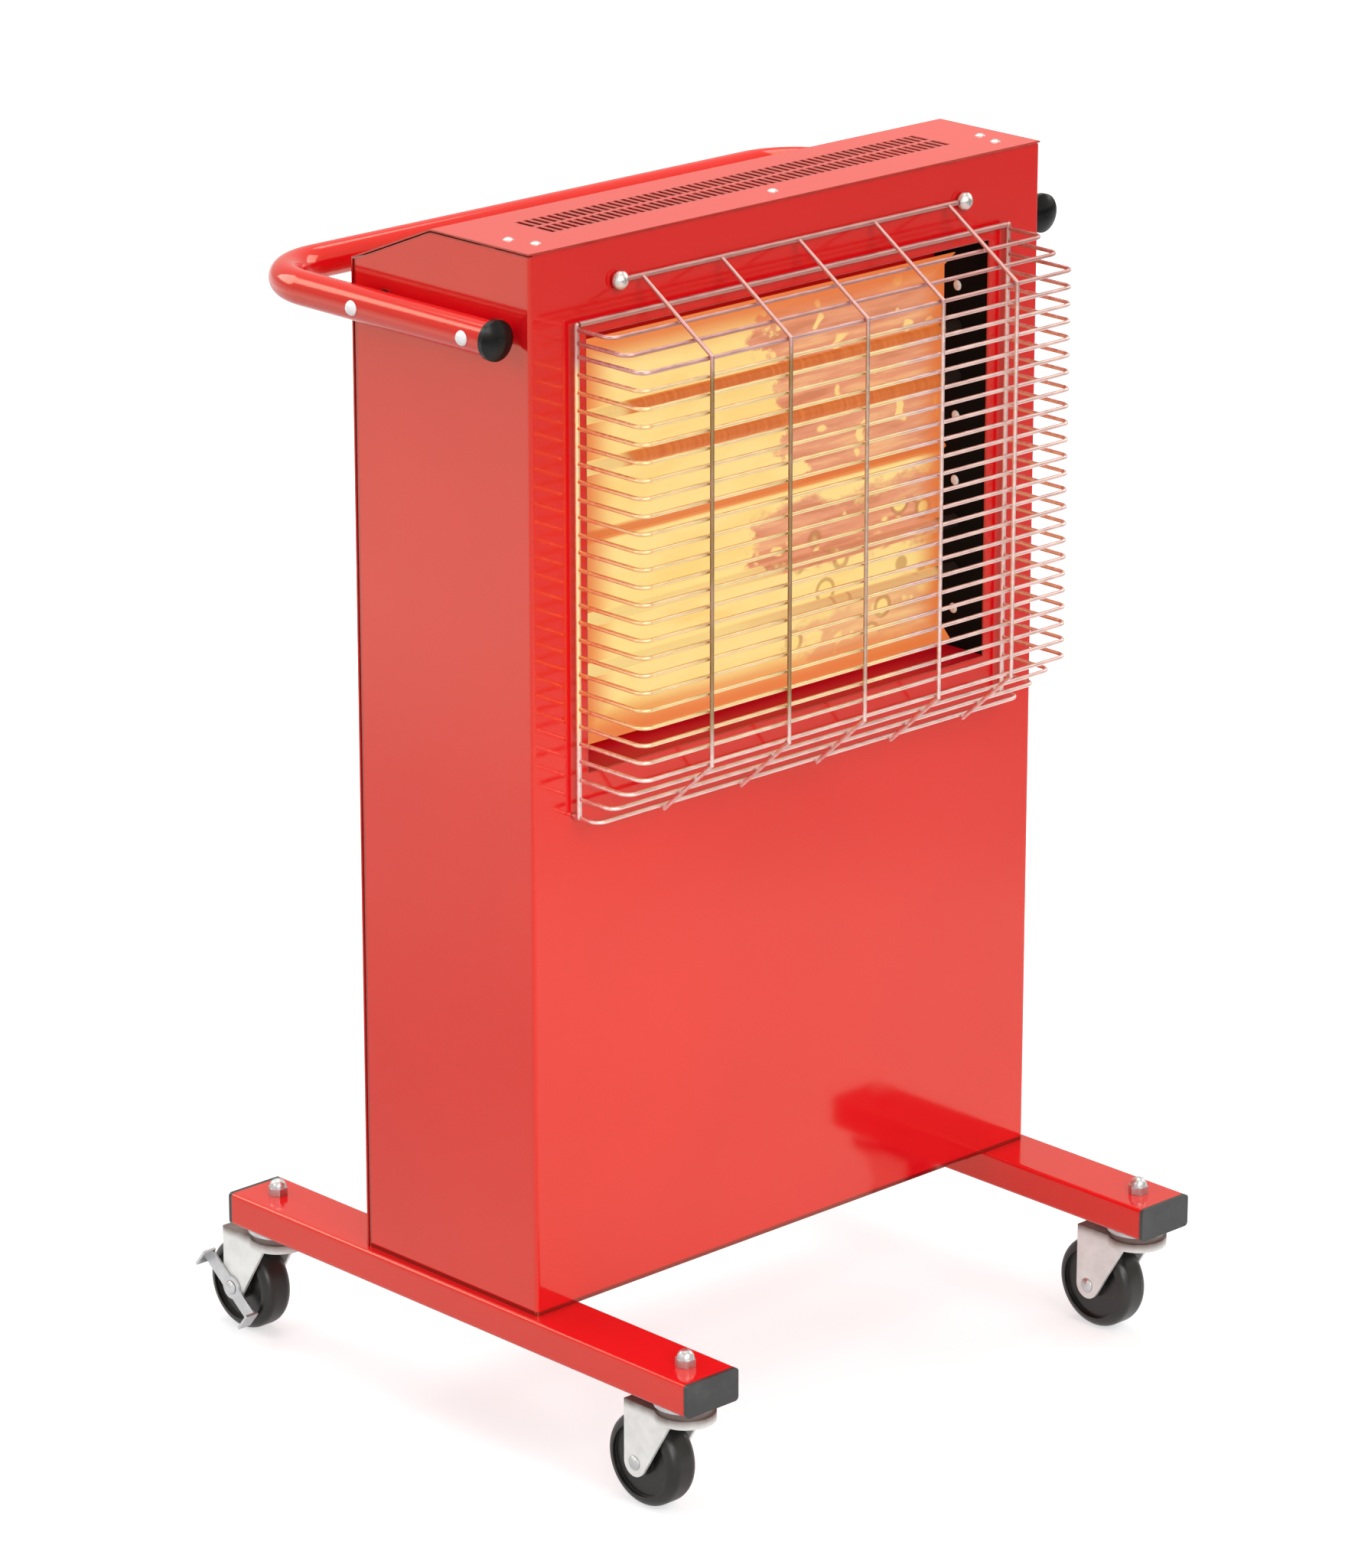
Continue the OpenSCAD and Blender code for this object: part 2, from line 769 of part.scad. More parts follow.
// Bars beside and above the window, hooked into the panel at the foot
module guard_frame() {
    side = guard_w / 2;
    top_end = side - bar_r - gap;
    color(chrome)
    translate([0, cab_y0 - frame_d, 0]) {
        translate([0, 0, frame_z1])
            rod_x(bar_r, -top_end, top_end);
        both_sides()
            translate([side, 0, 0]) {
                rod_z(bar_r, frame_z0, frame_z1);
                for (z = [frame_z0, frame_z1])
                    translate([0, 0, z])
                        sphere(r = bar_r);
                translate([0, 0, frame_z0])
                    rod_y(bar_r, 0, frame_d + hook_in);
            }
    }
}

module upright_places() {
    for (i = [0:upright_count - 1])
        in_side_plane((i - (upright_count - 1) / 2) * upright_pitch)
            children();
}

// Cuts away what lies beyond the mitre at corner k, on the side of a
module mitre(k, a, b) {
    normal = unit(a - k) - unit(b - k);
    size = 8 * wire_r;
    translate([k[0], k[1], 0])
        rotate([0, 0, atan2(normal[1], normal[0])])
            translate([0, -size / 2, -size / 2])
                cube(size);
}

// Front parts of the uprights, mitred at both ends
module guard_uprights() {
    spare = [0, 2 * wire_r];
    color(chrome)
    upright_places()
        difference() {
            wire_run(lower_corner - spare, upper_corner + spare, wire_r);
            mitre(upper_corner, stay_top, lower_corner);
            mitre(lower_corner, stay_foot, upper_corner);
        }
}

// Sloping ends of the uprights
module guard_stays() {
    color(chrome)
    upright_places() {
        stay(upper_corner, stay_top, lower_corner);
        stay(lower_corner, stay_foot, upper_corner);
    }
}

module stay(corner, end, other) {
    difference() {
        wire_run(corner - unit(end - corner) * 2 * wire_r, end, wire_r);
        mitre(corner, other, end);
    }
}

// Bar on the panel with an eyelet at each end
module guard_top_bar() {
    eyelet_r = screw_r + bar_r + 2 * gap;
    color(chrome)
    translate([0, cab_y0 - top_bar_d, top_bar_z]) {
        rod_x(bar_r, eyelet_r - guard_screw_x, guard_screw_x - eyelet_r);
        both_sides()
            translate([guard_screw_x, 0, 0])
                rotate([90, 0, 0])
                    rotate_extrude()
                        translate([eyelet_r, 0])
                            circle(r = bar_r);
    }
}

module guard_screws() {
    head_r = screw_r + 2 * bar_r + 2 * gap;
    head_h = 0.6 * head_r;
    thread = 4 * screw_r;
    seat = top_bar_d + bar_r + gap;
    color(zinc)
    both_sides()
        translate([guard_screw_x, cab_y0, top_bar_z]) {
            rod_y(screw_r, -seat - 0.01, thread);
            translate([0, -seat, 0])
                rotate([90, 0, 0])
                    difference() {
                        dome(head_r, head_h);
                        cross_recess(screw_head_r, head_h);
                    }
        }
}

// Solid bar along the handle's path
module handle_bar(r) {
    p = handle_path;
    wire_run(p[0], p[1] - [0, handle_bend], r);
    wire_bend(p[1], p[0], p[2], handle_bend, r);
    wire_run(p[1] + [handle_bend, 0], p[2] - [handle_bend, 0], r);
    wire_bend(p[2], p[1], p[3], handle_bend, r);
    wire_run(p[2] - [0, handle_bend], p[3], r);
}

module handle_tube() {
    color(red)
    difference() {
        translate([0, 0, handle_z])
            handle_bar(handle_r);
        translate([0, 0, handle_z])
            handle_bar(handle_r - handle_wall);
        both_sides()
            for (y = handle_bolt_y)
                translate([0, y, handle_z])
                    rod_x(handle_bolt_r + hole_fit, cab_w / 2, handle_x + 2 * handle_r);
    }
}

module handle_spacers() {
    color(black)
    both_sides()
        for (y = handle_bolt_y)
            translate([0, y, handle_z])
                difference() {
                    rod_x(2 * handle_bolt_r, cab_w / 2, cab_w / 2 + handle_gap - run_fit);
                    rod_x(handle_bolt_r + hole_fit, cab_w / 2 - 1, cab_w / 2 + 2 * handle_gap);
                }
}

module handle_bolts() {
    seat = handle_x + handle_r + run_fit;
    color(zinc)
    both_sides()
        for (y = handle_bolt_y)
            translate([0, y, handle_z]) {
                rod_x(handle_bolt_r, side_in - nut_h - 2, seat);
                translate([seat, 0, 0])
                    rotate([0, 90, 0])
                        dome(bolt_head_r, bolt_head_h);
            }
}

// Low dome standing on the xy plane
module dome(r, h) {
    ball = (r * r + h * h) / (2 * h);
    rotate_extrude()
        intersection() {
            translate([0, h - ball])
                circle(r = ball);
            square([r, h]);
        }
}

module handle_nuts() {
    color(zinc)
    both_sides()
        for (y = handle_bolt_y)
            translate([side_in - nut_h, y, handle_z])
                rotate([0, 90, 0])
                    difference() {
                        hex_z(3.25 * handle_bolt_r, 0, nut_h);
                        rod_z(handle_bolt_r + run_fit, -1, nut_h + 1);
                    }
}

// Domed sleeve cap pushed over the end of the handle tube
module handle_end_caps() {
    crown = handle_cap_l / 2;
    ball_r = (handle_cap_r * handle_cap_r + crown * crown) / (2 * crown);
    color(black)
    both_sides()
        translate([handle_x, handle_end_y - crown - gap, handle_z])
            rotate([-90, 0, 0])
                difference() {
                    rotate_extrude()
                        intersection() {
                            square([handle_cap_r, handle_cap_l]);
                            translate([0, ball_r])
                                circle(r = ball_r);
                        }
                    rod_z(handle_r + hole_fit, crown, handle_cap_l + 1);
                }
}

// Box section of a leg in x and z, shrunk all round by inset, pushed along y
module leg_bar(y0, y1, inset) {
    translate([0, y1, (leg_z0 + cab_z0) / 2])
        rotate([90, 0, 0])
            linear_extrude(y1 - y0)
                translate([inset - leg_w / 2, inset - leg_h / 2])
                    round_rect(leg_w - 2 * inset, leg_h - 2 * inset, leg_round - min(inset, leg_round - 1));
}

// Leg tube around x = 0
module leg() {
    color(red)
    difference() {
        leg_bar(leg_y0 + leg_cap_t, leg_y1 - leg_cap_t, 0);
        leg_bar(leg_y0, leg_y1, leg_wall);
        for (y = castor_y)
            translate([0, y, 0])
                rod_z(stem_r + hole_fit, leg_z0 - 1, cab_z0 + 1);
        for (s = [-1, 1])
            translate([0, cab_yc + s * leg_bolt_pitch / 2, 0])
                rod_z(leg_bolt_r + hole_fit, leg_z0 - 1, cab_z0 + 1);
    }
}

module left_leg() {
    translate([-leg_x, 0, 0])
        leg();
}

module right_leg() {
    translate([leg_x, 0, 0])
        leg();
}

module leg_end_caps() {
    plug_in = leg_wall + hole_fit;
    color(black)
    both_sides()
        translate([leg_x, 0, 0]) {
            leg_bar(leg_y0, leg_y0 + leg_cap_t, 0);
            leg_bar(leg_y0 + leg_cap_t / 2, leg_y0 + leg_cap_t + leg_plug, plug_in);
            leg_bar(leg_y1 - leg_cap_t, leg_y1, 0);
            leg_bar(leg_y1 - leg_cap_t - leg_plug, leg_y1 - leg_cap_t / 2, plug_in);
        }
}

module leg_bolt_places() {
    for (x = [-leg_x, leg_x])
        for (s = [-1, 1])
            translate([x, cab_yc + s * leg_bolt_pitch / 2, 0])
                children();
}

module leg_bolts() {
    color(zinc)
    leg_bolt_places() {
        hex_z(3.3 * leg_bolt_r, leg_z0 - 4, leg_z0);
        rod_z(leg_bolt_r, leg_z0 - 0.01, base_top + nut_h + 2);
    }
}

module leg_nuts() {
    color(zinc)
    leg_bolt_places()
        difference() {
            hex_z(3.3 * leg_bolt_r, base_top, base_top + nut_h);
            rod_z(leg_bolt_r + run_fit, base_top - 1, base_top + 2 * nut_h);
        }
}

module castor_places() {
    for (x = [-leg_x, leg_x])
        for (y = castor_y)
            translate([x, y, 0])
                children();
}

// Top plate, stem through the leg and kingpin with its head
module castor_stems() {
    color(zinc)
    castor_places() {
        rod_z(plate_r, plate_z, castor_h);
        rod_z(stem_r, castor_h - 0.01, cab_z0 + dome_nut_h);
        rod_z(kingpin_r, crown_z0 - gap, plate_z + 0.01);
        rod_z(kingpin_head_r, crown_z0 - gap - kingpin_head_h, crown_z0 - gap + 0.01);
    }
}

module castor_dome_nuts() {
    dome_r = dome_nut_af / 2;
    color(zinc)
    castor_places()
        translate([0, 0, cab_z0])
            difference() {
                union() {
                    hex_z(dome_nut_af, 0, dome_nut_h);
                    translate([0, 0, dome_nut_h - 0.01])
                        dome(dome_r - 0.2, dome_r);
                }
                rod_z(stem_r + run_fit, -1, dome_nut_h + 0.6);
            }
}

// Side plate of the fork in y and z, the stem at zero
module fork_side() {
    axle = [trail, axle_z];
    start = [fork_front, crown_z0];
    span = norm(axle - start);
    lean = atan2(axle[1] - start[1], axle[0] - start[0]) - asin(fork_tip_r / span);
    touch = start + sqrt(span * span - fork_tip_r * fork_tip_r) * [cos(lean), sin(lean)];
    difference() {
        union() {
            polygon([
                [fork_front, crown_z1], start, touch, axle,
                [fork_rear, axle_z], [fork_rear, crown_z1]
            ]);
            translate(axle)
                circle(r = fork_tip_r);
        }
        translate(axle)
            circle(r = axle_r + run_fit);
    }
}

module fork() {
    color(zinc)
    difference() {
        union() {
            both_sides()
                translate([fork_out - fork_t / 2, 0, 0])
                    across(fork_t)
                        fork_side();
            block([-fork_out, fork_front, crown_z0], [fork_out, fork_rear, crown_z1]);
            difference() {
                rod_z(crown_r, crown_z0 - crown_drop, crown_z1);
                rod_z(crown_r - fork_t, crown_z0 - crown_drop - 1, crown_z0);
            }
            rod_z(race_r, crown_z1 - 0.01, race_z1);
        }
        rod_z(kingpin_r + run_fit, crown_z0 - 1, race_z1 + 1);
    }
}

// Axle rivet, reaching further on the side of a brake lever
module axle(lever_side) {
    left = lever_side < 0 ? lever_out + gap : fork_out + gap;
    right = lever_side > 0 ? lever_out + gap : fork_out + gap;
    color(zinc)
    translate([0, trail, axle_z]) {
        rod_x(axle_r, -left - 0.01, right + 0.01);
        translate([right, 0, 0])
            rotate([0, 90, 0])
                dome(axle_head_r, axle_head_h);
        translate([-left, 0, 0])
            rotate([0, -90, 0])
                dome(axle_head_r, axle_head_h);
    }
}

module wheel() {
    half = wheel_w / 2;
    dish_r0 = hub_r + 2;
    dish_r1 = wheel_r - shoulder_r;
    dish_d = 3;
    color(black)
    translate([0, trail, axle_z])
        rotate([0, 90, 0])
            rotate_extrude()
                difference() {
                    union() {
                        translate([0, -half])
                            square([wheel_r - shoulder_r, wheel_w]);
                        translate([0, shoulder_r - half])
                            square([wheel_r, wheel_w - 2 * shoulder_r]);
                        for (s = [-1, 1])
                            translate([wheel_r - shoulder_r, s * (half - shoulder_r)])
                                circle(r = shoulder_r);
                        translate([0, -hub_half])
                            square([hub_r, 2 * hub_half]);
                    }
                    for (s = [-1, 1])
                        translate([dish_r0, s * half - dish_d])
                            square([dish_r1 - dish_r0, 2 * dish_d]);
                    translate([-axle_r, -2 * half])
                        square([2 * axle_r + run_fit, 4 * half]);
                }
}

// Rocking lever on the outer side of a fork, with a foot pad at each end
module brake_lever() {
    eye_r = axle_r + 5;
    pad_w = lever_w + 4;
    color(zinc)
    translate([0, trail, axle_z])
        rotate([lever_tilt, 0, 0])
            difference() {
                union() {
                    rod_x(eye_r, lever_in, lever_out);
                    block([lever_in, -lever_front, -lever_w / 2], [lever_out, lever_rear, lever_w / 2]);
                    for (y = [-lever_front, lever_rear - lever_t])
                        block([lever_in, y, -pad_w / 2], [lever_out + pad_reach, y + lever_t, pad_w / 2]);
                }
                rod_x(axle_r + run_fit, 0, 2 * lever_out);
            }
}

module at_castor(side, row) {
    translate([side * leg_x, castor_y[row], 0])
        children();
}

module switch_plate() {
    color(black)
    difference() {
        block([-switch_plate_w / 2, cab_y1, switch_z - switch_plate_h / 2],
            [switch_plate_w / 2, cab_y1 + switch_plate_t, switch_z + switch_plate_h / 2]);
        for (s = [-1, 1])
            translate([s * rocker_pitch / 2, 0, switch_z])
                block([-housing_w / 2 - hole_fit, cab_y1 - 1, -housing_h / 2 - hole_fit],
                    [housing_w / 2 + hole_fit, cab_y1 + 2 * switch_plate_t, housing_h / 2 + hole_fit]);
    }
}

module rocker_place(s) {
    translate([s * rocker_pitch / 2, rocker_y, switch_z])
        children();
}

module switch_housings() {
    rim = 1.2;
    color(black)
    for (s = [-1, 1])
        rocker_place(s)
            difference() {
                block([-housing_w / 2, housing_back - rocker_y, -housing_h / 2],
                    [housing_w / 2, cab_y1 + switch_plate_t + rim - rocker_y, housing_h / 2]);
                rod_x(rocker_sweep, -rocker_w / 2 - gap, rocker_w / 2 + gap);
                block([-rocker_w / 2 - gap, 0, -rocker_sweep],
                    [rocker_w / 2 + gap, 2 * rocker_sweep, rocker_sweep]);
                rod_x(rocker_pin_r + run_fit, -rocker_w / 2 - 2, rocker_w / 2 + 2);
            }
}

// Rocker about its pin, one half pressed in
module rocker() {
    color(black)
    rotate([-rocker_tilt, 0, 0]) {
        across(rocker_w)
            polygon([
                [-3, -6], [4, -rocker_half], [rocker_reach, -rocker_half], [rocker_reach - 2, 0],
                [rocker_reach, rocker_half], [4, rocker_half], [-3, 6]
            ]);
        rod_x(rocker_pin_r, -rocker_w / 2 - 1.5, rocker_w / 2 + 1.5);
    }
}

module cord_gland() {
    seat = cab_y1 + 3;
    color(black)
    translate([0, 0, gland_z])
        difference() {
            union() {
                rod_y(gland_thread_r, cab_y1 - gland_in, seat);
                translate([0, cab_y1, 0])
                    rotate([-90, 0, 0])
                        hex_z(gland_af, 0, gland_out - 10);
                rod_y(gland_thread_r + 1.5, seat, cab_y1 + gland_out);
            }
            rod_y(gland_bore_r, cab_y1 - gland_in - 1, cab_y1 + gland_out + 1);
        }
}

module gland_locknut() {
    color(black)
    translate([0, cab_y1 - sheet - locknut_t, gland_z])
        rotate([-90, 0, 0])
            difference() {
                hex_z(gland_af, 0, locknut_t);
                rod_z(gland_thread_r + run_fit, -1, locknut_t + 1);
            }
}

module terminal_block() {
    half_d = 14;
    block_h = 22;
    color(ceramic)
    block([-block_w / 2, lamp_y - half_d, base_top], [block_w / 2, lamp_y + half_d, base_top + block_h]);
}

module tilt_switch() {
    behind = 20;
    case_d = 20;
    case_h = 34;
    y0 = lamp_y + behind;
    color(black)
    block([-block_w / 4, y0, base_top], [block_w / 4, y0 + case_d, base_top + case_h]);
}

// Leads from the lamp ends down to the terminal block
module wiring_loom() {
    color("#3a3d42")
    both_sides()
        translate([0, lamp_y, 0]) {
            translate([trunk_x, 0, 0]) {
                rod_z(loom_r, loom_z, lamp_z[3]);
                translate([0, 0, loom_z])
                    sphere(r = loom_r);
                translate([0, 0, lamp_z[3]])
                    sphere(r = loom_r);
            }
            translate([0, 0, loom_z])
                rod_x(loom_r, block_w / 2, trunk_x);
            for (z = lamp_z)
                translate([0, 0, z])
                    rod_x(loom_r / 2, lamp_end + lamp_cap_l, trunk_x);
        }
}

cabinet_wrap();
top_cover();
cover_screws();
rear_panel();
rear_screws();
base_panel();
lamp_tray();
left_end_plate();
right_end_plate();
end_plate_screws();
upper_reflector();
lower_reflector();
lamp(0);  // lamp_1
lamp(1);  // lamp_2
lamp(2);  // lamp_3
lamp(3);  // lamp_4
lamp_end_caps();
lamp_holders();
guard_cross_wires();
guard_side_wires();
guard_frame();
guard_uprights();
guard_stays();
guard_top_bar();
guard_screws();
handle_tube();
handle_spacers();
handle_bolts();
handle_nuts();
handle_end_caps();
left_leg();
right_leg();
leg_end_caps();
leg_bolts();
leg_nuts();
castor_stems();
castor_dome_nuts();
at_castor(-1, 0) fork();  // front_left_fork
at_castor(-1, 0) axle(0);  // front_left_axle
at_castor(-1, 0) wheel();  // front_left_wheel
at_castor(1, 0) fork();  // front_right_fork
at_castor(1, 0) axle(0);  // front_right_axle
at_castor(1, 0) wheel();  // front_right_wheel
at_castor(-1, 1) fork();  // rear_left_fork
at_castor(-1, 1) axle(-1);  // rear_left_axle
at_castor(-1, 1) wheel();  // rear_left_wheel
at_castor(-1, 1) mirror([1, 0, 0]) brake_lever();  // left_brake_lever
at_castor(1, 1) fork();  // rear_right_fork
at_castor(1, 1) axle(1);  // rear_right_axle
at_castor(1, 1) wheel();  // rear_right_wheel
at_castor(1, 1) brake_lever();  // right_brake_lever
switch_plate();
switch_housings();
rocker_place(-1) rocker();  // upper_lamp_rocker
rocker_place(1) rocker();  // lower_lamp_rocker
cord_gland();
gland_locknut();
terminal_block();
tilt_switch();
wiring_loom();
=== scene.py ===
import json
import math

import bpy
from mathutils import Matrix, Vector


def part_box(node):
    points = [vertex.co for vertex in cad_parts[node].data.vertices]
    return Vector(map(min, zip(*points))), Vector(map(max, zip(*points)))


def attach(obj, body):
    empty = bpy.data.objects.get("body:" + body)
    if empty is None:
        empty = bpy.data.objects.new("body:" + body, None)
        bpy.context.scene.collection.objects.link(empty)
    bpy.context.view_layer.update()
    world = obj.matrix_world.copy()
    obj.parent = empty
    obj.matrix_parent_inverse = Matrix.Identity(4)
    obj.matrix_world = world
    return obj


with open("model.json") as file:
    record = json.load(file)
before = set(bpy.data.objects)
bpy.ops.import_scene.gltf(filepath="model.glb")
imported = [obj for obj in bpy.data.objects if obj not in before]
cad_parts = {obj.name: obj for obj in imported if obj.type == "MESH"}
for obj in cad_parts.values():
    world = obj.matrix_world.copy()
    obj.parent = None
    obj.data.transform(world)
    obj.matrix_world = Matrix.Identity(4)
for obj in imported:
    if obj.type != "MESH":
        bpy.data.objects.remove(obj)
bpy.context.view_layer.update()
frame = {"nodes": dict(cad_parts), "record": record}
nodes = frame["nodes"]
scene = bpy.context.scene


# Node helpers

BEVEL_RAYS = 4
FLAT_DOT, EDGE_DOT = 0.98, 0.86
NOISE_LOW, NOISE_HIGH = 0.3, 0.7
MIX_FACTOR, MIX_FROM, MIX_TO, MIX_RESULT = 0, 6, 7, 2


def material(name):
    mat = bpy.data.materials.new(name)
    mat.use_nodes = True
    tree = mat.node_tree
    tree.nodes.clear()
    out = tree.nodes.new("ShaderNodeOutputMaterial")
    bsdf = tree.nodes.new("ShaderNodeBsdfPrincipled")
    tree.links.new(bsdf.outputs["BSDF"], out.inputs["Surface"])
    return mat, tree, bsdf


def plug(tree, value, socket):
    """Sets a number or a colour on a socket, or links an output to it."""
    if isinstance(value, (int, float)):
        socket.default_value = value
    elif isinstance(value, tuple):
        socket.default_value = (*value, 1.0)
    else:
        tree.links.new(value, socket)


def coords(tree):
    return tree.nodes.new("ShaderNodeTexCoord").outputs["Object"]


def scaled(tree, vector, scale):
    node = tree.nodes.new("ShaderNodeMapping")
    node.inputs["Scale"].default_value = scale
    tree.links.new(vector, node.inputs["Vector"])
    return node.outputs["Vector"]


def axis(tree, vector, letter):
    node = tree.nodes.new("ShaderNodeSeparateXYZ")
    tree.links.new(vector, node.inputs["Vector"])
    return node.outputs[letter]


def noise(tree, vector, scale, detail=3.0, rough=0.55):
    node = tree.nodes.new("ShaderNodeTexNoise")
    node.inputs["Scale"].default_value = scale
    node.inputs["Detail"].default_value = detail
    node.inputs["Roughness"].default_value = rough
    tree.links.new(vector, node.inputs["Vector"])
    return node.outputs["Fac"]


def ramp(tree, value, stops):
    node = tree.nodes.new("ShaderNodeValToRGB")
    node.color_ramp.interpolation = "EASE"
    items = node.color_ramp.elements
    while len(items) < len(stops):
        items.new(0.5)
    for item, (place, colour) in zip(items, stops):
        item.position = place
        item.color = (*colour, 1.0)
    tree.links.new(value, node.inputs["Fac"])
    return node.outputs["Color"]


def span(tree, value, low, high, to_low=0.0, to_high=1.0):
    """Smooth step from to_low at low to to_high at high; low may be the larger of the two."""
    node = tree.nodes.new("ShaderNodeMapRange")
    node.interpolation_type = "SMOOTHSTEP"
    node.inputs["From Min"].default_value = low
    node.inputs["From Max"].default_value = high
    node.inputs["To Min"].default_value = to_low
    node.inputs["To Max"].default_value = to_high
    tree.links.new(value, node.inputs["Value"])
    return node.outputs["Result"]


def spread(tree, value, to_low, to_high):
    """Spreads the common values of a noise from to_low to to_high."""
    return span(tree, value, NOISE_LOW, NOISE_HIGH, to_low, to_high)


def mixed(tree, fac, a, b):
    node = tree.nodes.new("ShaderNodeMix")
    node.data_type = "RGBA"
    node.clamp_factor = True
    plug(tree, fac, node.inputs[MIX_FACTOR])
    plug(tree, a, node.inputs[MIX_FROM])
    plug(tree, b, node.inputs[MIX_TO])
    return node.outputs[MIX_RESULT]


def sums(tree, op, a, b=0.0):
    node = tree.nodes.new("ShaderNodeMath")
    node.operation = op
    plug(tree, a, node.inputs[0])
    plug(tree, b, node.inputs[1])
    return node.outputs["Value"]


def plus(tree, a, b):
    return sums(tree, "ADD", a, b)


def minus(tree, a, b):
    return sums(tree, "SUBTRACT", a, b)


def times(tree, first, *others):
    for other in others:
        first = sums(tree, "MULTIPLY", first, other)
    return first


def largest(tree, first, *others):
    for other in others:
        first = sums(tree, "MAXIMUM", first, other)
    return first


def unsigned(tree, value):
    return sums(tree, "ABSOLUTE", value)


def round_edges(tree, radius):
    node = tree.nodes.new("ShaderNodeBevel")
    node.samples = BEVEL_RAYS
    node.inputs["Radius"].default_value = radius
    return node.outputs["Normal"]


def edge_mask(tree, soft):
    """One along edges, where the rounded normal leaves the flat one, and zero elsewhere."""
    plain = tree.nodes.new("ShaderNodeNewGeometry").outputs["Normal"]
    dot = tree.nodes.new("ShaderNodeVectorMath")
    dot.operation = "DOT_PRODUCT"
    tree.links.new(soft, dot.inputs[0])
    tree.links.new(plain, dot.inputs[1])
    return span(tree, dot.outputs["Value"], FLAT_DOT, EDGE_DOT)


def bump(tree, height, strength, distance, normal=None):
    node = tree.nodes.new("ShaderNodeBump")
    node.inputs["Strength"].default_value = strength
    node.inputs["Distance"].default_value = distance
    tree.links.new(height, node.inputs["Height"])
    if normal is not None:
        tree.links.new(normal, node.inputs["Normal"])
    return node.outputs["Normal"]


def srgb(r, g, b):
    """Linear colour from screen values of 0 to 255."""
    def lin(c):
        c /= 255.0
        return c / 12.92 if c <= 0.04045 else ((c + 0.055) / 1.055) ** 2.4
    return (lin(r), lin(g), lin(b))


# Paint, metal and moulded finishes

WHITE = (1.0, 1.0, 1.0)
# Colour of the dark edge lines, and of the painted shade in the cabinet's gaps
EDGE_LINE_AND_GAP_SHADE = srgb(112, 12, 12)
WARM_SHEEN = (1.0, 0.84, 0.54, 1.0)
SPECK_DEPTH = 0.25
FOLD_REACH = 2.2
GAP_SHADE_DEPTH = 0.85
REAR_SHADE_END, REAR_SHADE_FULL = 0.0045, 0.0025
FOOT_SHADE_END, FOOT_SHADE_FULL = 0.0040, 0.0022
METAL_EDGE = 0.0006
# Grease mixed with painted shade, for the swivel race at the top of the forks
GREASE_AND_SHADE = srgb(120, 104, 98)


def gap_shade_lines(tree, at, rear, foot):
    """Painted shade lines in the gaps where the sides meet the rear panel and where the cabinet
    stands on the legs.
    """
    normal = tree.nodes.new("ShaderNodeNewGeometry").outputs["Normal"]
    sideways = span(tree, unsigned(tree, axis(tree, normal, "X")), 0.4, 0.7)
    behind = span(tree, axis(tree, at, "Y"), rear - REAR_SHADE_END, rear - REAR_SHADE_FULL)
    below = span(tree, axis(tree, at, "Z"), foot + FOOT_SHADE_END, foot + FOOT_SHADE_FULL)
    return largest(tree, times(tree, behind, sideways), below)


def paint(name, base, dark, light, gloss, edge, shine, gap_shade=None):
    """Powder coat with fine specks, orange peel and dark lines along its folds.

    gap_shade gives y of the rear panel and z of the foot, for the painted shade lines in the
    cabinet's gaps.
    """
    mat, tree, bsdf = material(name)
    bsdf.inputs["Specular IOR Level"].default_value = shine
    bsdf.inputs["Specular Tint"].default_value = WARM_SHEEN
    at = coords(tree)
    cloud = noise(tree, at, scale=3.0)
    speck = noise(tree, at, scale=900.0, detail=2.0)
    tone = plus(tree, cloud, times(tree, minus(tree, speck, 0.5), SPECK_DEPTH))
    colour = ramp(tree, tone, [(0.25, dark), (0.5, base), (0.78, light)])
    soft = round_edges(tree, edge)
    darkening = spread(tree, noise(tree, at, scale=60.0, detail=4.0), 0.5, 0.9)
    lines = times(tree, edge_mask(tree, round_edges(tree, FOLD_REACH * edge)), darkening)
    # The cabinet also gets painted shade: dark lines in its gaps at the rear panel and above the
    # legs.
    if gap_shade:
        lines = largest(tree, lines, times(tree, gap_shade_lines(tree, at, *gap_shade), GAP_SHADE_DEPTH))
    tree.links.new(mixed(tree, lines, colour, EDGE_LINE_AND_GAP_SHADE), bsdf.inputs["Base Color"])
    smear = noise(tree, at, scale=2.2, detail=2.0)
    roughness = span(tree, smear, 0.2, 0.8, gloss - 0.02, gloss + 0.03)
    tree.links.new(roughness, bsdf.inputs["Roughness"])
    peel = noise(tree, at, scale=260.0, detail=2.0)
    tree.links.new(bump(tree, peel, 0.03, 0.0004, soft), bsdf.inputs["Normal"])
    return mat


def metal(name, base, dark, rough, grain):
    """Bright metal with cloudy spots and fine streaks along its grain."""
    mat, tree, bsdf = material(name)
    at = coords(tree)
    spots = noise(tree, at, scale=90.0)
    tree.links.new(ramp(tree, spots, [(0.25, dark), (0.75, base)]), bsdf.inputs["Base Color"])
    bsdf.inputs["Metallic"].default_value = 1.0
    streaks = noise(tree, scaled(tree, at, grain), scale=420.0)
    roughness = spread(tree, streaks, rough - 0.07, rough + 0.1)
    tree.links.new(roughness, bsdf.inputs["Roughness"])
    soft = round_edges(tree, METAL_EDGE)
    tree.links.new(bump(tree, streaks, 0.06, 0.0003, soft), bsdf.inputs["Normal"])
    return mat


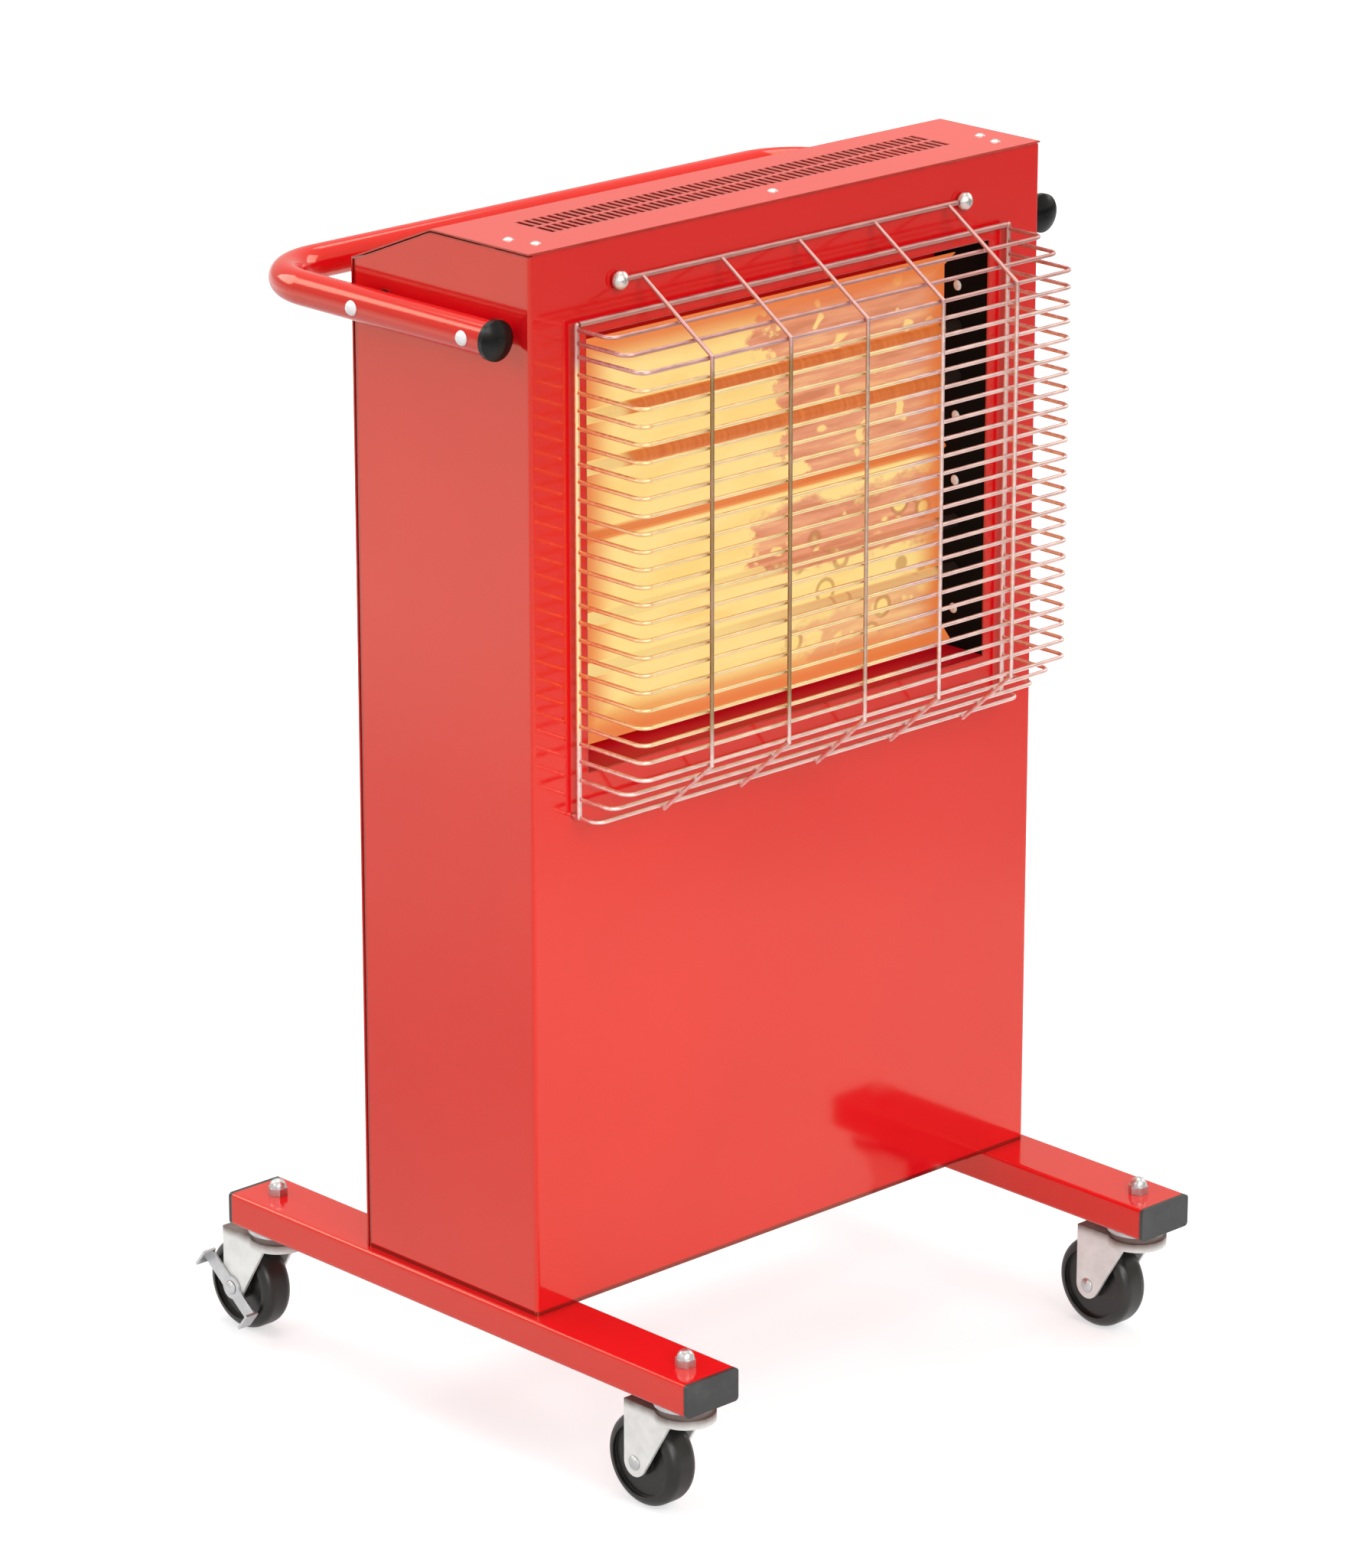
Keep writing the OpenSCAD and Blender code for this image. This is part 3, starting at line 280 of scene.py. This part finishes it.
def plastic(name, base, light, rough, grain, depth, edge=0.0008, shine=0.5):
    """Moulded or painted surface, cloudy and fine-grained, a little paler along worn edges."""
    mat, tree, bsdf = material(name)
    bsdf.inputs["Specular IOR Level"].default_value = shine
    at = coords(tree)
    cloud = noise(tree, at, scale=40.0, detail=4.0)
    soft = round_edges(tree, edge)
    colour = ramp(tree, cloud, [(0.35, base), (0.75, light)])
    colour = mixed(tree, times(tree, edge_mask(tree, soft), 0.5), colour, light)
    tree.links.new(colour, bsdf.inputs["Base Color"])
    roughness = spread(tree, cloud, rough - 0.06, rough + 0.08)
    tree.links.new(roughness, bsdf.inputs["Roughness"])
    pores = noise(tree, at, scale=grain, detail=2.0)
    tree.links.new(bump(tree, pores, depth, 0.0004, soft), bsdf.inputs["Normal"])
    return mat


def fork_zinc(name):
    """Bright zinc plate, darker round the swivel race at the top of the fork, partly as grease and
    partly as painted shade under the leg.
    """
    mat, tree, bsdf = material(name)
    at = coords(tree)
    spots = noise(tree, at, scale=70.0)
    plate = ramp(tree, spots, [(0.3, srgb(226, 227, 224)), (0.7, srgb(240, 241, 238))])
    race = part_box("front_left_fork")[1].z
    # Painted shade, with grease, darkening the top of the fork round the swivel race.
    ragged_z = plus(tree, axis(tree, at, "Z"), times(tree, spots, 0.006))
    darkening = span(tree, ragged_z, race - 0.010, race - 0.001)
    tree.links.new(mixed(tree, darkening, plate, GREASE_AND_SHADE), bsdf.inputs["Base Color"])
    bsdf.inputs["Metallic"].default_value = 0.35
    tree.links.new(spread(tree, spots, 0.36, 0.46), bsdf.inputs["Roughness"])
    pores = noise(tree, at, scale=300.0, detail=2.0)
    soft = round_edges(tree, METAL_EDGE)
    tree.links.new(bump(tree, pores, 0.03, 0.0003, soft), bsdf.inputs["Normal"])
    return mat


# Guard wire and the glow of the lamps

WIRE_PLATE = [(0.3, srgb(224, 194, 188)), (0.7, srgb(238, 212, 206))]
WIRE_DULL = srgb(186, 132, 128)
# Colours of the painted glow on the reflectors, and of the painted glints in it
GLOW_PALE = [(0.35, srgb(244, 207, 124)), (0.6, srgb(247, 217, 140)), (0.8, srgb(244, 199, 116))]
GLOW_ROSE = [(0.34, srgb(206, 128, 92)), (0.5, srgb(224, 148, 112)), (0.66, srgb(236, 176, 126))]
GLOW_DAB = srgb(246, 210, 134)
GLINT = srgb(247, 214, 130)
GLINT_RING = srgb(176, 116, 66)
GLOW_BORDER = srgb(224, 118, 58)
GLOW_SEAM = srgb(216, 104, 44)
FILAMENT = [(0.35, srgb(207, 104, 44)), (0.55, srgb(214, 112, 50)), (0.7, srgb(221, 122, 58))]
FILAMENT_IN_GLARE = srgb(208, 128, 88)
UNLIT_END = (0.004, 0.003, 0.003)
SHEET_DARK = (0.02, 0.015, 0.01)
TUBE_DARK = (0.02, 0.012, 0.008)
LIT_SHADE = 0.85
ROLL_MARKS = (5.0, 1.0, 46.0)


def guard_wire(name, glow_and_heat, fade_in, strength):
    """Plated wire, dulled above the window and tinted before the lamps, partly discoloured from being
    heated and partly with the painted glow of the lamps.

    fade_in gives x where the tint starts and x where it is full.
    """
    mat, tree, bsdf = material(name)
    at = coords(tree)
    x, z = axis(tree, at, "X"), axis(tree, at, "Z")
    streaks = noise(tree, scaled(tree, at, (0.3, 1.0, 1.0)), scale=300.0)
    low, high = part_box("lower_reflector")[0].z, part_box("upper_reflector")[1].z
    above = span(tree, z, high - 0.03, high + 0.02, 0.0, 0.75)
    plated = mixed(tree, above, ramp(tree, streaks, WIRE_PLATE), WIRE_DULL)
    patchy = span(tree, noise(tree, at, scale=25.0), 0.2, 0.6, 0.75 * strength, strength)
    # Painted glow of the lamps, with heated discolouration, on the wire in front of the window.
    glow_and_heat_mask = times(tree, span(tree, z, low + 0.005, low + 0.05),
                   span(tree, z, high + 0.004, high - 0.012), span(tree, x, *fade_in), patchy)
    tree.links.new(mixed(tree, glow_and_heat_mask, plated, glow_and_heat), bsdf.inputs["Base Color"])
    bsdf.inputs["Metallic"].default_value = 1.0
    tree.links.new(spread(tree, streaks, 0.34, 0.5), bsdf.inputs["Roughness"])
    tree.links.new(bump(tree, streaks, 0.05, 0.0003), bsdf.inputs["Normal"])
    return mat


def glow_tone(tree, at):
    """Painted glow colours of the lit reflectors: pale yellow, with rose at the right of the upper
    one.

    The lower one has a streaked rosy patch, a rosy foot and round glints. Heights are counted
    from where the two reflectors meet.
    """
    meet = (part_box("lower_reflector")[1].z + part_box("upper_reflector")[0].z) / 2
    x = axis(tree, at, "X")
    z = minus(tree, axis(tree, at, "Z"), meet)
    ragged = noise(tree, scaled(tree, at, (1.0, 1.0, 1.5)), scale=26.0, detail=5.0, rough=0.6)
    wander = minus(tree, ragged, 0.5)
    ragged_x = plus(tree, x, times(tree, wander, 0.16))
    ragged_z = plus(tree, z, times(tree, wander, 0.05))
    clouds = noise(tree, scaled(tree, at, (1.0, 1.0, 3.0)), scale=9.0, detail=4.0)
    pale = ramp(tree, clouds, GLOW_PALE)

    slant = plus(tree, ragged_x, times(tree, z, 0.3))
    upper = times(tree, span(tree, slant, 0.046, 0.058), span(tree, z, -0.002, 0.004))
    from_patch = unsigned(tree, plus(tree, ragged_z, 0.040))
    patch = times(tree, span(tree, from_patch, 0.028, 0.019), span(tree, ragged_x, 0.004, 0.016))
    from_foot = unsigned(tree, plus(tree, ragged_z, 0.124))
    foot = times(tree, span(tree, from_foot, 0.030, 0.016, 0.0, 0.7),
                 span(tree, ragged_x, 0.062, 0.078))
    rosy = largest(tree, upper, patch, foot)

    streak = noise(tree, scaled(tree, at, ROLL_MARKS), scale=2.4, detail=4.0)
    dots = noise(tree, scaled(tree, at, (1.0, 1.0, 1.3)), scale=48.0, detail=1.0)
    dabs = span(tree, dots, 0.64, 0.70)
    rose = mixed(tree, dabs, ramp(tree, streak, GLOW_ROSE), GLOW_DAB)
    colour = mixed(tree, rosy, pale, rose)

    cells = tree.nodes.new("ShaderNodeTexVoronoi")
    cells.inputs["Scale"].default_value = 30.0
    tree.links.new(scaled(tree, at, (1.0, 0.05, 1.0)), cells.inputs["Vector"])
    from_cell = cells.outputs["Distance"]
    # Painted glints: round bright discs with dark rings in the lower reflector.
    glints = times(tree, span(tree, z, -0.030, -0.040), span(tree, z, -0.135, -0.120),
                   span(tree, ragged_x, 0.03, 0.05))
    disc = span(tree, from_cell, 0.26, 0.20)
    colour = mixed(tree, times(tree, glints, disc), colour, GLINT)
    ring = span(tree, unsigned(tree, minus(tree, from_cell, 0.26)), 0.07, 0.02, 0.0, 0.6)
    return mixed(tree, times(tree, glints, ring), colour, GLINT_RING)


def painted_glow_sheet(name):
    """Bright reflector sheet with the light of the lamps painted on as its own glow, orange at its
    edges and where the two meet.
    """
    mat, tree, bsdf = material(name)
    at = coords(tree)
    low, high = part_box("lower_reflector")[0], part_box("upper_reflector")[1]
    x, z = axis(tree, at, "X"), axis(tree, at, "Z")
    left = span(tree, x, -0.126, -0.162)
    right = span(tree, x, high.x - 0.032, high.x)
    top = span(tree, z, high.z - 0.034, high.z - 0.006)
    bottom = span(tree, z, low.z + 0.024, low.z + 0.002)
    border = largest(tree, left, right, top, bottom)
    colour = mixed(tree, border, glow_tone(tree, at), GLOW_BORDER)
    from_meet = unsigned(tree, minus(tree, z, (low.z + high.z) / 2))
    seam = times(tree, span(tree, from_meet, 0.006, 0.0025), 0.9)
    colour = mixed(tree, seam, colour, GLOW_SEAM)
    # The reflector is no lamp: its lit colours, rose patches, glints and orange edges are painted
    # glow in its emission.
    tree.links.new(colour, bsdf.inputs["Emission Color"])
    bsdf.inputs["Emission Strength"].default_value = 0.92
    tree.links.new(mixed(tree, LIT_SHADE, colour, SHEET_DARK), bsdf.inputs["Base Color"])
    bsdf.inputs["Roughness"].default_value = 0.45
    bsdf.inputs["Specular IOR Level"].default_value = 0.3
    streak = noise(tree, scaled(tree, at, ROLL_MARKS), scale=2.4, detail=4.0)
    tree.links.new(bump(tree, streak, 0.1, 0.0006), bsdf.inputs["Normal"])
    return mat


def lamp_glass(name, lost):
    """Quartz tube with its lit filament and unlit ends.

    A lost tube has the colours of the glare round it, and a plain one fades into it at the left.
    """
    mat, tree, bsdf = material(name)
    at = coords(tree)
    x = axis(tree, at, "X")
    turns = noise(tree, scaled(tree, at, (60.0, 4.0, 4.0)), scale=5.0, detail=2.0)
    if lost:
        faint = span(tree, x, -0.06, 0.08, 0.08, 0.55)
        colour = mixed(tree, faint, glow_tone(tree, at), FILAMENT_IN_GLARE)
    else:
        glare = span(tree, x, -0.126, -0.142, 0.0, 0.8)
        colour = mixed(tree, glare, ramp(tree, turns, FILAMENT), glow_tone(tree, at))
    ends = span(tree, unsigned(tree, x), 0.176, 0.184)
    colour = mixed(tree, ends, colour, UNLIT_END)
    tree.links.new(colour, bsdf.inputs["Emission Color"])
    bsdf.inputs["Emission Strength"].default_value = 0.85
    tree.links.new(mixed(tree, LIT_SHADE, colour, TUBE_DARK), bsdf.inputs["Base Color"])
    bsdf.inputs["Roughness"].default_value = 0.3
    bsdf.inputs["Specular IOR Level"].default_value = 0.25
    tree.links.new(bump(tree, turns, 0.08, 0.0004), bsdf.inputs["Normal"])
    return mat


# Finish of every CAD node

RED_COAT = {
    "base": srgb(222, 14, 25), "dark": srgb(215, 10, 21), "light": srgb(229, 20, 29),
    "gloss": 0.09, "edge": 0.0012, "shine": 0.8,
}
cabinet_low, cabinet_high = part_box("cabinet_wrap")
red = paint("red_powder_coat", **RED_COAT)
# This coat carries the painted shade lines in the cabinet's gaps.
cabinet_red = paint("red_cabinet_coat", **RED_COAT, gap_shade=(cabinet_high.y, cabinet_low.z))
tray_red = paint("shaded_red_coat", base=srgb(188, 12, 36), dark=srgb(176, 9, 32),
                 light=srgb(198, 16, 40), gloss=0.55, edge=0.001, shine=0.15)
black_paint = plastic("black_heat_paint", (0.003, 0.003, 0.003), (0.006, 0.005, 0.005),
                      rough=0.8, grain=500.0, depth=0.08, shine=0.08)
black = plastic("black_moulding", srgb(10, 10, 10), srgb(20, 20, 20),
                rough=0.2, grain=700.0, depth=0.05, shine=0.25)
cap_grey = plastic("dark_cap_moulding", srgb(44, 47, 47), srgb(66, 69, 68),
                   rough=0.42, grain=700.0, depth=0.10)
rubber = plastic("black_wheel_rubber", srgb(19, 18, 16), srgb(34, 32, 29),
                 rough=0.34, grain=420.0, depth=0.10, edge=0.001)
cable = plastic("cable_sleeve", srgb(48, 50, 54), srgb(70, 72, 76),
                rough=0.6, grain=500.0, depth=0.2)
ceramic = plastic("unglazed_ceramic", srgb(224, 219, 206), srgb(240, 236, 226),
                  rough=0.62, grain=520.0, depth=0.12)
# Metal screw and bolt heads painted near-white as a painted highlight, bright even in the shade of
# the lamp tray.
screws_painted_bright = plastic("screws_painted_near_white", srgb(240, 239, 238), srgb(249, 249, 248),
                      rough=0.3, grain=300.0, depth=0.05)
mark_white = plastic("white_switch_mark", srgb(222, 222, 218), srgb(238, 238, 235),
                     rough=0.4, grain=600.0, depth=0.05, edge=0.0002)
zinc = metal("bright_zinc", (0.60, 0.61, 0.62), (0.50, 0.51, 0.52),
             rough=0.38, grain=(1.0, 1.0, 0.2))
bolt_steel = metal("bright_bolt_steel", (0.74, 0.72, 0.70), (0.62, 0.60, 0.58),
                   rough=0.34, grain=(1.0, 0.3, 1.0))
fork_plate = fork_zinc("pressed_fork_zinc")
cross_wire = guard_wire("cross_guard_wire", glow_and_heat=srgb(250, 224, 164),
                        fade_in=(0.06, 0.02), strength=0.9)
upright_wire = guard_wire("upright_guard_wire", glow_and_heat=srgb(152, 122, 78),
                          fade_in=(0.08, -0.06), strength=0.95)
side_wire = guard_wire("side_guard_wire", glow_and_heat=srgb(238, 200, 134),
                       fade_in=(-0.10, -0.20), strength=0.85)
glow = painted_glow_sheet("reflector_painted_glow")
glass = lamp_glass("lit_quartz", lost=False)
lost_glass = lamp_glass("lit_quartz_in_glare", lost=True)

looks = {
    "red_paint": red,
    "black_paint": black_paint,
    "reflector_metal": glow,
    "quartz": glass,
    "ceramic": ceramic,
    "guard_chrome": cross_wire,
    "black_plastic": black,
    "black_rubber": rubber,
    "cable_rubber": cable,
    "zinc_steel": zinc,
}
special = {
    "cabinet_wrap": cabinet_red,
    "lamp_tray": tray_red,
    "leg_end_caps": cap_grey,
    "cover_screws": bolt_steel,
    "guard_screws": bolt_steel,
    "end_plate_screws": screws_painted_bright,
    "handle_bolts": screws_painted_bright,
    "guard_uprights": upright_wire,
    "guard_side_wires": side_wire,
    "lamp_1": lost_glass,
    "lamp_2": lost_glass,
}
slots = {part["node"]: part["material_slot"] for part in frame["record"]["subparts"]}
for name, piece in nodes.items():
    chosen = fork_plate if name.endswith("_fork") else special.get(name, looks[slots[name]])
    if not piece.material_slots:
        piece.data.materials.append(chosen)
    for holder in piece.material_slots:
        holder.material = chosen


# On and off marks of the rocker switches

MARK_T = 0.0003
MARK_EDGE = 0.0001
MARK_SMOOTH = math.radians(40.0)
BAR_SHAPE = (3.0, 1.0, 15.0)
RING_POINTS = 40
RING_R = 0.0015
RING_GROWTH = (1.55, 1.0, 1.55)
UPRIGHT = (math.radians(90.0), 0.0, 0.0)


def finish_mark(mark):
    bevel = mark.modifiers.new("soft_edge", "BEVEL")
    bevel.width = MARK_EDGE
    bevel.segments = 2
    bpy.ops.object.modifier_apply(modifier=bevel.name)
    bpy.ops.object.mode_set(mode="EDIT")
    bpy.ops.mesh.select_all(action="SELECT")
    bpy.ops.mesh.normals_make_consistent(inside=False)
    bpy.ops.object.mode_set(mode="OBJECT")
    bpy.ops.object.shade_smooth_by_angle(angle=MARK_SMOOTH)
    mark.data.materials.append(mark_white)


def on_bar():
    """Upright bar, drawn out of a small block."""
    bpy.ops.object.select_all(action="DESELECT")
    bpy.ops.mesh.primitive_cube_add(size=MARK_T)
    bpy.ops.object.mode_set(mode="EDIT")
    bpy.ops.mesh.select_all(action="SELECT")
    bpy.ops.transform.resize(value=BAR_SHAPE)
    bpy.ops.object.mode_set(mode="OBJECT")
    return bpy.context.object


def off_ring():
    """Flat ring, drawn out from a circle and given its thickness."""
    bpy.ops.object.select_all(action="DESELECT")
    bpy.ops.mesh.primitive_circle_add(vertices=RING_POINTS, radius=RING_R, fill_type="NOTHING",
                                      rotation=UPRIGHT)
    bpy.ops.object.transform_apply(location=False, rotation=True, scale=False)
    bpy.ops.object.mode_set(mode="EDIT")
    bpy.ops.mesh.select_all(action="SELECT")
    bpy.ops.mesh.extrude_edges_move()
    bpy.ops.transform.resize(value=RING_GROWTH)
    bpy.ops.object.mode_set(mode="OBJECT")
    ring = bpy.context.object
    wall = ring.modifiers.new("thickness", "SOLIDIFY")
    wall.thickness = MARK_T
    wall.offset = 0.0
    bpy.ops.object.modifier_apply(modifier=wall.name)
    return ring


# Label, function that makes it, tilt in degrees, and place from the pin of the rocker
MARKS = (
    ("on_mark", on_bar, 0.0, Vector((0.0, 0.0059, -0.0069))),
    ("off_mark", off_ring, -19.9, Vector((0.0, 0.0079, 0.0044))),
)
pins = {joint["child"]: Vector(joint["pos_m"]) for joint in frame["record"]["behaviour"]["joints"]}
for body in ("upper_lamp_switch", "lower_lamp_switch"):
    for label, make, tilt, place in MARKS:
        mark = make()
        mark.name = body + "_" + label
        mark.data.name = mark.name
        finish_mark(mark)
        mark.rotation_euler = (math.radians(tilt), 0.0, 0.0)
        mark.location = pins[body] + place
        bpy.ops.object.transform_apply(location=True, rotation=True, scale=True)
        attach(mark, body)


# Stage

FLOOR_SIZE = 60.0
FLOOR_PLACE = (0.0, 0.0, -0.0006)
FLOOR_TONES = [(0.3, (0.58, 0.58, 0.58)), (0.7, (0.62, 0.62, 0.62))]
NEAR, FAR = 0.4, 3.0
NEAR_LEVEL, FAR_LEVEL = 0.56, 1.0
POOL_REACH = 3.6
# How bright the floor is in reflections, from the left behind to the right in front
POOL = ((0.0, 0.95), (0.10, 0.50), (0.24, 0.22), (0.38, 0.42), (0.5, 0.30), (0.62, 0.60),
        (0.78, 0.62), (0.88, 0.33), (0.97, 0.0))
WORLD_LIGHT, WORLD_MIRRORED, WORLD_SEEN = 0.35, 0.76, 1.0
WORLD_WARM = (1.0, 0.94, 0.84)


def light_paths(tree):
    """Camera rays, and rays that metal or glass sends on."""
    paths = tree.nodes.new("ShaderNodeLightPath").outputs
    return paths["Is Camera Ray"], largest(tree, paths["Is Glossy Ray"], paths["Is Transmission Ray"])


bpy.ops.object.select_all(action="DESELECT")
bpy.ops.mesh.primitive_plane_add(size=FLOOR_SIZE, location=FLOOR_PLACE)
floor = bpy.context.object
floor.name = "floor"
mat, tree, bsdf = material("pale_floor")
at = coords(tree)
grain = noise(tree, at, scale=3.0, detail=2.0)
tree.links.new(ramp(tree, grain, FLOOR_TONES), bsdf.inputs["Base Color"])
bsdf.inputs["Roughness"].default_value = 0.9
bsdf.inputs["Specular IOR Level"].default_value = 0.0
bsdf.inputs["Emission Color"].default_value = (*WHITE, 1.0)
reach = tree.nodes.new("ShaderNodeVectorMath")
reach.operation = "LENGTH"
tree.links.new(at, reach.inputs[0])
seen = span(tree, reach.outputs["Value"], NEAR, FAR, NEAR_LEVEL, FAR_LEVEL)
right_front = minus(tree, axis(tree, at, "X"), axis(tree, at, "Y"))
pool = ramp(tree, span(tree, right_front, -POOL_REACH, POOL_REACH),
            [(place, (level, level, level)) for place, level in POOL])
camera_ray, mirrored = light_paths(tree)
level = plus(tree, times(tree, camera_ray, seen), times(tree, mirrored, pool))
tree.links.new(level, bsdf.inputs["Emission Strength"])
floor.data.materials.append(mat)

world = bpy.data.worlds.new("studio")
scene.world = world
world.use_nodes = True
tree = world.node_tree
back = tree.nodes["Background"]
camera_ray, mirrored = light_paths(tree)
tree.links.new(mixed(tree, mirrored, WHITE, WORLD_WARM), back.inputs["Color"])
shown = largest(tree, camera_ray, mirrored)
level = plus(tree, span(tree, shown, 0.0, 1.0, WORLD_LIGHT, WORLD_MIRRORED),
             times(tree, camera_ray, WORLD_SEEN - WORLD_MIRRORED))
tree.links.new(level, back.inputs["Strength"])


# Light and camera

CABINET_MIDDLE = (0.0, 0.0, 0.45)
CABINET_TOP = (0.0, 0.0, 0.6)
# Name, place, aim, width and watts
SOFTBOXES = (
    ("key", (-0.6, -3.6, 2.8), CABINET_MIDDLE, 2.2, 80.0),
    ("side", (-3.6, 0.6, 2.4), CABINET_MIDDLE, 2.0, 30.0),
    ("top", (0.3, 0.6, 3.2), CABINET_TOP, 2.4, 50.0),
    ("back", (-1.5, 3.8, 2.8), CABINET_MIDDLE, 2.2, 56.0),
    ("right", (3.7, -0.8, 2.4), CABINET_MIDDLE, 2.0, 34.0),
)
SPOT_PLACE = (-1.9, -2.7, 1.3)
SPOT_AIM = (-0.05, -0.05, 0.23)
SPOT_WATTS = 205.0
SPOT_ANGLE = math.radians(20.0)
SPOT_SOFT = 0.4
CAMERA_PLACE = (-3.12426, -3.27622, 1.94180)
CAMERA_AIM = (-0.01680, -0.01375, 0.43852)
LENS_MM = 149.73
SENSOR_MM = 36.0
CLIP_END = 100.0


def aim_at(thing, aim):
    thing.rotation_euler = (Vector(aim) - thing.location).to_track_quat("-Z", "Y").to_euler()


for name, place, aim, width, watts in SOFTBOXES:
    bpy.ops.object.light_add(type="AREA", location=place)
    lamp = bpy.context.object
    lamp.name = name
    lamp.data.shape = "RECTANGLE"
    lamp.data.size = lamp.data.size_y = width
    lamp.data.energy = watts
    aim_at(lamp, aim)
bpy.ops.object.light_add(type="SPOT", location=SPOT_PLACE)
spot = bpy.context.object
spot.name = "panel_pool"
spot.data.energy = SPOT_WATTS
spot.data.spot_size = SPOT_ANGLE
spot.data.spot_blend = 1.0
spot.data.shadow_soft_size = SPOT_SOFT
aim_at(spot, SPOT_AIM)

bpy.ops.object.camera_add(location=CAMERA_PLACE)
camera = bpy.context.object
aim_at(camera, CAMERA_AIM)
camera.data.lens = LENS_MM
camera.data.sensor_width = SENSOR_MM
camera.data.clip_end = CLIP_END
scene.camera = camera
scene.view_settings.view_transform = "Standard"
